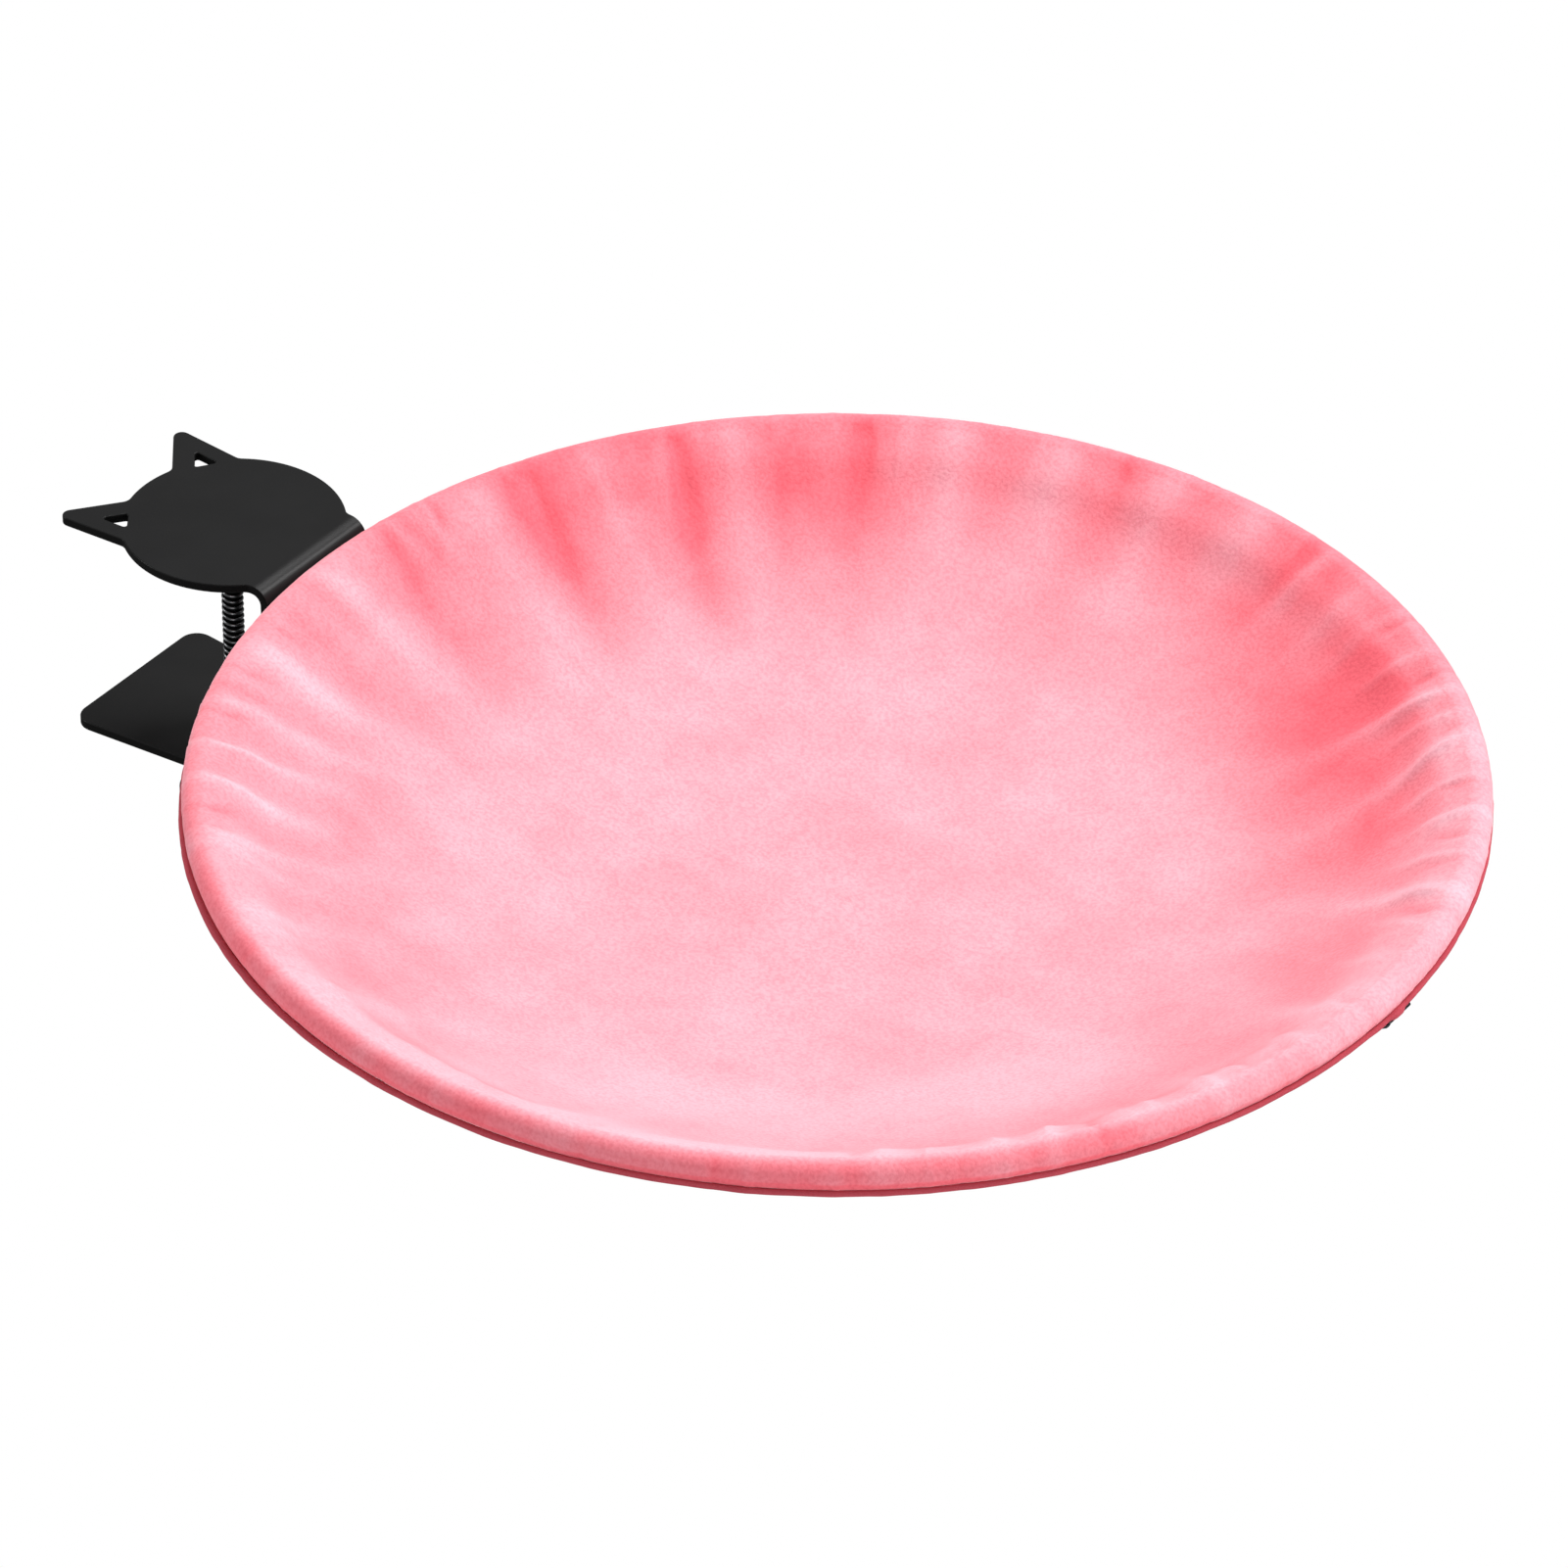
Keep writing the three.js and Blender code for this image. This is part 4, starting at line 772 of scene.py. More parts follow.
# %% Make the screw
ROD_RADIUS = 4.0
THREAD_PITCH = 2.5
CREST_RADIUS = 0.72
screw_low, screw_high = box_in_mm("clamp_screw")
core = ROD_RADIUS - 2 * CREST_RADIUS + 0.55
shoulder = foot_low.z - 0.3
core_profile = [
    (0, screw_low.z), (core - 0.5, screw_low.z), (core, screw_low.z + 0.5), (core, shoulder - 1.6),
    (3.9, shoulder - 1.2), (3.9, shoulder - 0.4), (3.6, shoulder), (2.7, shoulder), (2.7, screw_high.z - 0.5),
    (2.5, screw_high.z - 0.15), (2.1, screw_high.z), (0, screw_high.z),
]
screw = ring_piece("clamp_screw_threaded", turned_rings(core_profile, 48), oxide)
thread_start = screw_low.z + 1.2
thread_length = shoulder - 2.0 - thread_start
run_tree(
    screw, thread_tree, Turns=thread_length / THREAD_PITCH, Path_Radius=(ROD_RADIUS - CREST_RADIUS) / 1000,
    Crest_Radius=CREST_RADIUS / 1000, Thread_Length=thread_length / 1000, Start=thread_start / 1000,
    Finish=oxide,
)
screw.data.set_sharp_from_angle(angle=math.radians(60))
dressed(screw, "clamp_screw", "screw")
print("thread turns:", round(thread_length / THREAD_PITCH, 1))

# %% [markdown]
# ## Knob
#
# The knob is moulded: six soft lobes for the fingers, a rounded edge above and below, and a hub with a
# six-sided pocket that holds the nut. Every ring has the same number of points, so the lobed outline can turn
# into the round hub and that into the hexagon.

# %% Knob
KNOB_POINTS = 216
KNOB_RADIUS = 22.5
LOBE_DEPTH = 3
EDGE_ROUND = 2.2
POCKET_DEPTH = 6.8
knob_angle = circle_of(KNOB_POINTS)
knob_low, knob_high = box_in_mm("screw_knob")


def lobed(inset, height):
    """The lobed outline, drawn in by so much."""
    return level_ring(knob_angle, KNOB_RADIUS - inset - LOBE_DEPTH * (1 - np.cos(6 * knob_angle)) / 2, height)


def hexagon(across_flats, height):
    """Points on a hexagon with a flat towards +X."""
    turn = (knob_angle + math.pi / 6) % (math.pi / 3) - math.pi / 6
    return level_ring(knob_angle, across_flats / 2 / np.cos(turn), height)


bottom, top = knob_low.z, knob_high.z
shoulder_height = top - 5
rod_end = screw_low.z - 0.3
rounding = [
    (EDGE_ROUND * (1 - math.sin(a)), EDGE_ROUND * (1 - math.cos(a))) for a in np.radians(np.arange(0, 91, 15))
]
underside = [
    (0, bottom + 1.2), (12.5, bottom + 1.2), (13.2, bottom + 0.9), (14.2, bottom + 0.15), (15, bottom),
]
hub = [
    (11.2, shoulder_height), (10.4, shoulder_height + 0.35), (9.9, shoulder_height + 1.4), (9.1, top - 0.5),
    (8.7, top - 0.1), (8.3, top),
]
knob = ring_piece("screw_knob_moulded", [
    *turned_rings(underside, KNOB_POINTS),
    *[lobed(inset, bottom + rise) for inset, rise in rounding],
    *[lobed(inset, shoulder_height - rise) for inset, rise in reversed(rounding)],
    *turned_rings(hub, KNOB_POINTS),
    hexagon(13.8, top), hexagon(13.5, top - 0.25), hexagon(13.5, top - POCKET_DEPTH),
    *turned_rings([(4.3, top - POCKET_DEPTH), (4.3, rod_end), (0, rod_end)], KNOB_POINTS),
], black_plastic)
knob.data.set_sharp_from_angle(angle=math.radians(40))
dressed(knob, "screw_knob", "screw")

# %% [markdown]
# ## The curve of the cover
#
# All layers of the cover follow one curve: round the hoop's rod from the hem, over the top and down into the
# bowl. It is worked out about the middle of the hoop, in millimetres, as in the CAD source. A point is found
# from its share of the bowl's radius and moved square to the surface by a depth.

# %% The curve of the cover
HOOP_RADIUS = 218.1
VELVET_OUTSIDE = 5.3
VELVET_INSIDE = 4.3
RIM_SLOPE = math.radians(40)
BOWL_DEPTH = 56
BOWL_RADIUS = HOOP_RADIUS - VELVET_OUTSIDE * math.sin(RIM_SLOPE)
RIM_HEIGHT = VELVET_OUTSIDE * math.cos(RIM_SLOPE)
BOWL_POWER = math.tan(RIM_SLOPE) * BOWL_RADIUS / BOWL_DEPTH
HOOP_X = 1000 * hoop_middle.x
HOOP_Z = 1000 * hoop_middle.z


def bowl_slope(share):
    """How steep the bowl is at a share of its radius."""
    return math.atan(math.tan(RIM_SLOPE) * share ** (BOWL_POWER - 1))


def bowl_point(share, depth):
    """(radius, height) of a point of the bowl, a depth below the velvet's face."""
    height = RIM_HEIGHT - BOWL_DEPTH * (1 - share ** BOWL_POWER)
    slope = bowl_slope(share)
    return share * BOWL_RADIUS + depth * math.sin(slope), height - depth * math.cos(slope)


# %% Places on the bowl
shares = np.linspace(1, 0, 2001)
face_points = np.array([bowl_point(share, 0) for share in shares])
runs = np.concatenate([[0], np.cumsum(np.hypot(*np.diff(face_points, axis=0).T))])
bowl_run = runs[-1]
print("from rim to middle:", round(float(bowl_run), 1), "mm")


def on_bowl(inward, depth):
    """(radius, height, normal) so many millimetres inwards from the rim, a depth below the velvet's face."""
    share = float(np.interp(inward, runs, shares))
    slope = bowl_slope(share)
    return (*bowl_point(share, depth), (-math.sin(slope), math.cos(slope)))


def middle_point(depth):
    """The ring of one point that closes a layer at the middle of the bowl."""
    return np.array([[hoop_middle.x, 0, (HOOP_Z + bowl_point(0, depth)[1]) / 1000]])


# %% [markdown]
# ## Gathers and folds
#
# The velvet is a disc larger than the bowl, so the seam under the rim holds more cloth than the rim has room
# for. The surplus stands in small gathers on the rim, and some of them run on into the bowl as long folds. A
# simulation would give folds in places of its own choice. Here each fold is one row of numbers instead: where
# it starts on the rim, how far it leans, how wide, how long and how high it is. The long ones are listed one
# by one and the many small ones placed by a seeded generator, so they come out the same each time.

# %% Tables of folds
# Each row: degrees on the rim, lean in degrees, width, reach inwards and height in millimetres.
long_folds = [
    (7, 6, 4.5, 55, 1.0), (12.5, 8, 3.0, 45, 0.8), (18, 11, 5.0, 85, 1.4), (24, 5, 3.0, 45, 0.8),
    (30.5, 2, 2.8, 42, 0.8), (36, 1, 2.8, 45, 0.9), (42, -3, 4.6, 80, 1.3), (46, 3, 2.6, 45, 0.8),
    (49.5, 6, 4.4, 80, 1.3), (56, 3, 3.0, 45, 0.9), (62, 1, 3.6, 60, -0.6), (67.5, 1, 4.6, 60, 0.7),
    (73.5, 2, 4.0, 50, 0.9), (82, 1, 9, 80, 1.1), (93, -1, 10, 90, 1.3), (104, 1, 9, 80, 1.2),
    (115, -1, 11, 100, 1.7), (124, 0, 6, 70, -1.1), (132.5, 1, 5, 70, -0.9), (137, 0, 9, 105, 1.3),
    (142.3, 1, 5.4, 95, -1.6), (150, 2, 13, 120, 0.7), (157.5, 1, 5.4, 95, -1.4), (164, 3, 12, 120, 1.3),
    (174.5, 3, 7, 95, -1.0), (183, -2, 10, 100, 1.4), (190, -1, 6.5, 80, -0.6), (197, -4, 7, 85, 1.6),
    (205, -6, 5, 80, 1.4), (212, -6, 3.2, 60, 1.4), (217.5, -2, 4, 60, 1.3), (226, -4, 5, 70, 1.2),
    (238, -3, 8, 80, 0.9), (252, 2, 10, 85, 0.7), (266, -2, 9, 80, 0.7), (281, 1, 11, 85, 0.8),
    (296, -2, 9, 75, 0.8), (310, 2, 8, 65, 1.0), (325, 4, 4.4, 38, 1.9), (329.5, 3, 3.5, 36, -1.2),
    (335, 3, 3.2, 34, 1.0), (341.5, 4, 4.4, 44, 1.8), (346, 4, 3.4, 40, -1.1), (352, 4, 3.2, 40, 0.9),
    (358, 5, 6, 65, 1.4),
]
# The crests of the folds on the right are pinched, and between them the seam pulls short dents into the rim.
pinches = [
    (18, 11, 2.4, 58, 0.5), (42, -3, 2.4, 52, 0.5), (49.5, 6, 2.4, 56, 0.5), (212, -6, 2.2, 55, 0.5),
    (52.5, 1, 2.6, 17, -1.0), (44, 0, 2.8, 16, -0.9), (35, 1, 2.6, 16, -1.0), (27, 2, 2.8, 18, -1.0),
    (15, 2, 3.0, 20, -1.0), (7, 1, 2.6, 16, -0.9), (359, 1, 2.6, 15, -0.8), (350, 2, 2.4, 14, -0.8),
    (61, 1, 2.4, 12, -0.6), (168, 1, 2.2, 14, -0.8), (200, -1, 2.4, 20, -0.8), (207, -2, 2.2, 18, -0.8),
    (222, -2, 2.2, 16, -0.8),
]

# %% Small folds from a seeded generator
rng = np.random.default_rng(20)
small_folds = []
place_on_rim = 0.0
while place_on_rim < 360:
    small_folds.append((
        place_on_rim, rng.uniform(-1.5, 1.5), rng.uniform(1.4, 2.6), rng.uniform(9, 26),
        rng.uniform(-0.5, 0.45),
    ))
    place_on_rim += rng.uniform(2.2, 4.2)
middle_folds = []
place_on_rim = 2.0
while place_on_rim < 360:
    middle_folds.append((
        place_on_rim, rng.uniform(-4, 4), rng.uniform(4.0, 6.0), rng.uniform(35, 70),
        rng.choice([-0.6, 0.5, 0.8]),
    ))
    place_on_rim += rng.uniform(8, 14)
print("folds:", len(long_folds), "long,", len(middle_folds), "middle,", len(small_folds), "small")


# %% How high the folds stand
def ramp(value, low, high):
    """0 below low, 1 above high and smooth between."""
    way = np.clip((value - low) / (high - low), 0, 1)
    return way * way * (3 - 2 * way)


def degrees_off(degrees, place):
    """How far an angle lies off a place on the rim, from -180 to 180 degrees."""
    return (degrees - place + 180) % 360 - 180


def fold_height(angle, radius, inward, folds, on_rim):
    """The summed height of some folds at points given by angle, radius and run inwards from the rim."""
    total = np.zeros_like(angle)
    degrees = np.degrees(angle)
    grown = on_rim + (1 - on_rim) * ramp(inward, -6, 5)
    for start, lean, width, reach, height in folds:
        way = np.clip(inward / reach, 0, 1)
        across = np.radians(degrees_off(degrees - start, lean * way ** 1.3)) * radius
        near = np.abs(across) < 4 * width * 1.8
        if not near.any():
            continue
        wide = width * (0.75 + 0.9 * way)
        shape = np.exp(-np.abs(across / wide) ** 1.7)
        total += height * grown * (1 - way ** 2) ** 1.5 * shape * near
    return total


# %% Smooth noise
NOISE_ROWS = 64


def value_noise(x, y, seed):
    """Smooth noise from -1 to 1 on a grid one unit wide. It repeats every NOISE_ROWS units."""
    table = np.random.default_rng(seed).uniform(-1, 1, (NOISE_ROWS, NOISE_ROWS))
    i, j = np.floor(x).astype(int), np.floor(y).astype(int)
    u, v = x - i, y - j
    u, v = u * u * (3 - 2 * u), v * v * (3 - 2 * v)

    def corner(a, b):
        return table[(i + a) % NOISE_ROWS, (j + b) % NOISE_ROWS]

    low = corner(0, 0) * (1 - u) + corner(1, 0) * u
    high = corner(0, 1) * (1 - u) + corner(1, 1) * u
    return low * (1 - v) + high * v


# %% [markdown]
# The floor of the bowl isn't flat either. Its wadding is lumpy, and the cloth on it has short soft creases
# that cross each other. Two layers of smooth noise give the lumps. Noise folded at zero, which makes sharp
# lines where it changes sign, gives the creases.

# %% Lumps and creases
def lumps(x, y):
    """The soft unevenness of the padded bowl, in millimetres."""
    return 1.5 * value_noise(x / 78, y / 78, 5) + 0.6 * value_noise(x / 33 + 7, y / 33, 6)


def creases(x, y):
    """Short sharp creases, in millimetres."""
    bend = 14 * value_noise(x / 40, y / 40, 7)
    first = 1 - np.abs(value_noise((x + bend) / 46, (y - bend) / 24, 8))
    second = 1 - np.abs(value_noise((x - y) / 38 + 3, (x + y + bend) / 60, 9))
    return 0.9 * first ** 7 + 0.8 * second ** 8


SHOULDER = 1.6      # the wadding's edge, which softens the step from the rod to the slope


def velvet_lift(angle, radius, inward, fine=True):
    """How far the velvet stands off its plain curve, in millimetres."""
    x, y = radius * np.cos(angle), radius * np.sin(angle)
    lift = fold_height(angle, radius, inward, long_folds, 0.05)
    padded_part = ramp(inward, 4, 40)
    lift += padded_part * lumps(x, y)
    lift += SHOULDER * np.exp(-((inward - 12) / 9) ** 2) * (inward > 0)
    if fine:
        lift += fold_height(angle, radius, inward, middle_folds, 0.06)
        lift += fold_height(angle, radius, inward, small_folds, 0.45)
        lift += fold_height(angle, radius, inward, pinches, 0.15)
        lift += creases(x, y) * ramp(inward, 30, 75) * 0.5
    over_the_rod = np.hypot(VELVET_OUTSIDE, np.maximum(inward, 0)) - VELVET_OUTSIDE
    return np.maximum(lift, -0.5 - over_the_rod)


# %% [markdown]
# ## Velvet cover
#
# The velvet is the piece that everyone sees, so it gets most of the faces: nearly one ring a millimetre on
# the rim, and fewer towards the middle, where the cloth is calm. Its face runs from the middle of the bowl to
# the hem, round the hem, and back along the underside, so the cloth has its real thickness of a millimetre.

# %% Rings of a cloth
def cloth_ring(count, radius, height, normal, inward, lift):
    """One ring of a cloth: a circle, moved off its plain place along a normal by a function of the angle."""
    angle = circle_of(count)
    off = lift(angle, np.full(count, radius), np.full(count, inward))
    return np.stack([
        HOOP_X + (radius + normal[0] * off) * np.cos(angle),
        (radius + normal[0] * off) * np.sin(angle),
        HOOP_Z + height + normal[1] * off,
    ], axis=1) / 1000


def bowl_ring(count, inward, depth, lift, run=None):
    """A ring that follows the bowl. Its lift is read at its own run inwards, or at the one that is given."""
    radius, height, normal = on_bowl(inward, depth)
    return cloth_ring(count, radius, height, normal, inward if run is None else run, lift)


def rim_lift(angle, radius, inward):
    """On the rod the cloth can only stand outwards."""
    return np.maximum(velvet_lift(angle, radius, inward), -0.15)


def calm_lift(angle, radius, inward):
    """What the long folds and the lumps alone lift, for a side that doesn't show."""
    return velvet_lift(angle, radius, inward, fine=False)


# %% Velvet cover
# Degrees round the rod: where the velvet leaves it for the bowl, 40 degrees past the top, and where it ends.
LEAVES_ROD = 130
HEM = -38
# The run inwards at which the folds are read at the hem, and how deep the cloth's back lies.
HEM_RUN = -14.3
BACK_DEPTH = 1.3
# From this run inwards on, a side that doesn't show has few points in a ring.
COARSE_FROM = 140
inward_steps = np.concatenate([
    np.arange(1.2, 11, 1.2), np.arange(12, 29, 1.8), np.arange(30, 111, 2.9), np.arange(113, 184, 4.2),
    np.arange(187, bowl_run - 3, 6),
])
velvet_rings = [middle_point(0)]
for inward in inward_steps[::-1]:
    count = 1440 if inward < 45 else 720 if inward < 112 else 360 if inward < 186 else 120
    velvet_rings.append(bowl_ring(count, inward, 0, velvet_lift))
for turn in np.radians(np.linspace(LEAVES_ROD, HEM, 20)):
    roll = VELVET_OUTSIDE + 0.7 * float(ramp(math.pi / 2 - turn, 0, 1.9))
    inward = roll * (turn - math.radians(LEAVES_ROD))
    out = (math.cos(turn), math.sin(turn))
    velvet_rings.append(cloth_ring(1440, HOOP_RADIUS + roll * out[0], roll * out[1], out, inward, rim_lift))
out = (math.cos(math.radians(HEM)), math.sin(math.radians(HEM)))
for off_rod, along in ((5.8, 0.35), (5.2, 0.5), (4.5, 0.35)):
    radius, height = HOOP_RADIUS + off_rod * out[0] + along * out[1], off_rod * out[1] - along * out[0]
    velvet_rings.append(cloth_ring(
        720, radius, height, out, HEM_RUN, lambda a, r, i: 0.6 * rim_lift(a, r, i),
    ))
for turn in np.radians(np.linspace(HEM, 125, 8)):
    radius, height = HOOP_RADIUS + VELVET_INSIDE * math.cos(turn), VELVET_INSIDE * math.sin(turn)
    velvet_rings.append(cloth_ring(240, radius, height, (0, 0), 0, rim_lift))
for inward in np.concatenate([np.arange(4, 60, 8), np.arange(60, bowl_run - 10, 16)]):
    count = 240 if inward < COARSE_FROM else 60
    velvet_rings.append(bowl_ring(count, inward, BACK_DEPTH, lambda a, r, i: calm_lift(a, r, i) - 0.5))
velvet_rings.append(middle_point(BACK_DEPTH + 0.5))
velvet = ring_piece("velvet_cover", velvet_rings, pink_velvet)
dressed(velvet, "cover_velvet", "frame")

# %% [markdown]
# The velvet's finish is given painted light and shade at each point, worked out from the same folds: a
# painted highlight on a crest and painted shade in a valley. The floor of the bowl is painted paler as
# painted light, listed patches are painted paler as painted light or deeper as painted shade, and beside the
# piping painted shade darkens the crease.

# %% Painted light and shade on the velvet
# Each row of painted light and shade: degrees, half width in degrees, how much paler (below zero, deeper, as
# painted shade), and the millimetres inwards from which and up to which it holds.
painted_patches = [
    (16, 36, 0.34, -30, 42), (195, 30, 0.13, -30, 70), (288, 62, 0.5, -1, 48), (300, 50, 0.21, 34, 125),
    (47, 17, -0.2, 14, 95), (150, 15, -0.1, -30, 75), (322, 16, 0.45, -30, -4), (255, 26, -0.3, -30, -1),
]


def points_of(piece):
    """The points of a piece, one row each."""
    return np.array([vert.co for vert in piece.data.vertices])


points = points_of(velvet) * 1000
angle = np.arctan2(points[:, 1], points[:, 0] - HOOP_X)
radius = np.hypot(points[:, 0] - HOOP_X, points[:, 1])
turn = np.arctan2(points[:, 2] - HOOP_Z, radius - HOOP_RADIUS)
on_rod = VELVET_OUTSIDE * (turn - math.radians(LEAVES_ROD))
inward = np.where(radius > BOWL_RADIUS, on_rod, np.interp(-radius / BOWL_RADIUS, -shares, runs))
painted_shading = fold_height(angle, radius, inward, long_folds, 0.3)
painted_shading += fold_height(angle, radius, inward, pinches, 0.5)
painted_shading += fold_height(angle, radius, inward, middle_folds + small_folds, 0.7)
# Painted highlight on crests and painted shade in valleys, and painted light that makes the floor of the bowl
# paler.
painted_shading = 0.32 + painted_shading / 5 + 0.36 * ramp(inward, 15, 115)
for place_on_rim, wide, paler, start, end in painted_patches:
    part = ramp(inward, start - 7, start) * (1 - ramp(inward, end - 42, end))
    painted_shading += paler * np.exp(-((degrees_off(np.degrees(angle), place_on_rim) / wide) ** 4)) * part
# Painted shade in the crease beside the piping.
painted_shading -= 0.25 * ramp(-inward, 12.0, 13.6)
stands_out = velvet.data.attributes.new("stands_out", "FLOAT", "POINT")
stands_out.data.foreach_set("value", np.clip(painted_shading, 0, 1).astype(np.float32))
print("stands out by", round(float(np.clip(painted_shading, 0, 1).mean()), 3), "on average")

# %% [markdown]
# ## Wadding
#
# A layer of loose polyester fibre lies between the velvet and the lining. It follows the long folds on its
# upper side and stays smooth below. It only shows if one looks into the slit, so it is kept simple.

# %% Wadding
WADDING_TOP = 2.6
WADDING_BOTTOM = 6.8
wadding_steps = np.concatenate([np.arange(14, 60, 8), np.arange(60, bowl_run - 10, 16)])
wadding_rings = [middle_point(WADDING_TOP)]
for depth, steps, part in ((WADDING_TOP, wadding_steps[::-1], 1.0), (WADDING_BOTTOM, wadding_steps, 0.3)):
    for inward in steps:
        count = 240 if inward < COARSE_FROM else 60
        wadding_rings.append(bowl_ring(
            count, inward, depth, lambda a, r, i: part * calm_lift(a, r, i) - 0.3 * part,
        ))
wadding_rings.append(middle_point(WADDING_BOTTOM))
wadding = ring_piece("wadding_layer", wadding_rings, white_wadding)
dressed(wadding, "wadding", "frame")

# %% [markdown]
# ## Lining
#
# The lining is the cloth under the bowl. It runs straight in from its edge beside the piping, under the zip,
# and then follows the bowl. Its own cut is a little too wide as well, so it has soft folds, but none under
# the zip, which is sewn on flat. A slit lets the mount's shelf in to the rod.

# %% Lining
LINING_EDGE = (221.5, -4.07)
LINING_DEPTH = 8.4
LINING_THICKNESS = 0.0008
JOIN_SHARE = 0.94
JOIN_INWARD = 12.9
SLIT_HALF = 23.5
SLIT_END = 211.4
lining_join = bowl_point(JOIN_SHARE, LINING_DEPTH)
flat_run = math.hypot(LINING_EDGE[0] - lining_join[0], LINING_EDGE[1] - lining_join[1])
slit_way = (LINING_EDGE[0] - SLIT_END) / (LINING_EDGE[0] - lining_join[0])


def lining_lift(angle, radius, run):
    """The lining's folds grow behind the zip and hang down, because the wadding lies close above them."""
    x, y = radius * np.cos(angle), radius * np.sin(angle)
    wave = fold_height(angle, radius, run, long_folds, 0.0) * 0.8
    small = fold_height(angle + 0.4, radius, run - 4, small_folds[::2], 0.0) * 0.9
    small += fold_height(angle + 0.2, radius, run - 4, middle_folds, 0.0) * 1.4
    soft = 1.3 * value_noise(x / 60 + 11, y / 60, 21) + 0.6 * value_noise(x / 24, y / 24 + 5, 22)
    hang = wave + small + soft * ramp(run, 20, 60) - 0.8
    return ramp(run, 13, 34) * (np.minimum(hang, 0) + 0.4 * np.tanh(np.maximum(hang, 0) / 0.4))


lining_rings = []
for way in (-0.03, 0.03, 0.14, 0.25, 0.36, 0.48, 0.6, slit_way, 0.87, 1.0):
    radius, height = (edge + (join - edge) * way for edge, join in zip(LINING_EDGE, lining_join))
    lining_rings.append(cloth_ring(720, radius, height, (0, 1), flat_run * way, lining_lift))
bowl_steps = [np.arange(15, 40, 2.4), np.arange(40, 110, 4), np.arange(110, bowl_run - 6, 8)]
for inward in np.concatenate(bowl_steps):
    if np.interp(inward, runs, shares) > JOIN_SHARE - 0.01:
        continue
    count = 720 if inward < 70 else 360 if inward < 150 else 120
    lining_rings.append(bowl_ring(count, inward, LINING_DEPTH, lining_lift, flat_run + inward - JOIN_INWARD))
lining_rings.append(middle_point(LINING_DEPTH))
lining = ring_piece("lining", lining_rings, pink_lining)
print("lining:", len(lining_rings), "rings")

# %% Cut the slit for the mount
# Points that lie this near to an edge of the slit are moved onto it: beside the slit, and at its end.
BESIDE = 0.0011
AT_END = 0.0008
work = bmesh.new()
work.from_mesh(lining.data)
slit_x = (HOOP_X - SLIT_END) / 1000
slit_half = SLIT_HALF / 1000
for vert in work.verts:
    x, y = vert.co.x, vert.co.y
    radius = math.hypot(x - hoop_middle.x, y)
    if x > hoop_middle.x or radius < (SLIT_END - 0.4) / 1000 or abs(y) > slit_half + BESIDE:
        continue
    if abs(abs(y) - slit_half) < BESIDE:
        vert.co.y = math.copysign(slit_half, y)
    if abs(radius - SLIT_END / 1000) < AT_END:
        vert.co.x = slit_x
doomed = [
    face for face in work.faces
    if face.calc_center_median().x < slit_x and abs(face.calc_center_median().y) < slit_half
]
bmesh.ops.delete(work, geom=doomed, context="FACES")
work.to_mesh(lining.data)
work.free()
thick = lining.modifiers.new("cloth_thickness", "SOLIDIFY")
thick.thickness = LINING_THICKNESS
thick.offset = 1.0 if lining.data.polygons[0].normal.z > 0 else -1.0
plain(lining)
lining.data.shade_smooth()
lining.data.set_sharp_from_angle(angle=math.radians(60))
dressed(lining, "cover_lining", "frame")
print("slit faces cut:", len(doomed))

# %% [markdown]
# A woven finish follows the threads of the cloth, so the lining gets a UV map. It was cut from flat cloth,
# and the bowl is shallow, so looking straight down on it is nearly the cut itself.

# %% UV map of a flat cut
def flat_uv(piece):
    """A UV map in metres, straight down on the piece."""
    layer = piece.data.uv_layers.new(name="cloth")
    corners = np.zeros(len(piece.data.loops), int)
    piece.data.loops.foreach_get("vertex_index", corners)
    layer.data.foreach_set("uv", points_of(piece)[corners][:, :2].astype(np.float32).ravel())
    print(piece.name, "has a UV map of", len(corners), "corners")


flat_uv(lining)

# %% [markdown]
# ## Hoop and piping
#
# The hoop is a bent and welded rod, drawn as a fine ring. The piping is a cord in a strip of the same velvet,
# sewn between the cover and the lining. The gathers pull at it, so it isn't an even tube: its thickness and
# place change a little all the way round. It stops at both sides of the slit.

# %% Rings round a bent rod
def swept_rings(angles, radius, height, thickness, sides):
    """Rings of points round a bent rod, one at each angle. Its values may change with the angle."""
    turn = (np.arange(sides) + 0.5) / sides * 2 * math.pi
    values = [np.broadcast_to(v, angles.shape) for v in (radius, height, thickness)]
    return [
        np.stack([
            HOOP_X + (r + t * np.cos(turn)) * math.cos(a), (r + t * np.cos(turn)) * math.sin(a),
            HOOP_Z + h + t * np.sin(turn),
        ], axis=1) / 1000
        for a, r, h, t in zip(angles, *values)
    ]


def capped(rings):
    """The rings of a bar or band, with a point at each end that closes it."""
    return [rings[0].mean(axis=0, keepdims=True), *rings, rings[-1].mean(axis=0, keepdims=True)]


# %% Hoop
HOOP_ROD_RADIUS = 4.0
hoop_rings = swept_rings(circle_of(360), HOOP_RADIUS, 0.0, HOOP_ROD_RADIUS, 20)
hoop = ring_piece("hoop_rod", hoop_rings, zinc_steel, closed=True)
dressed(hoop, "hoop", "frame")

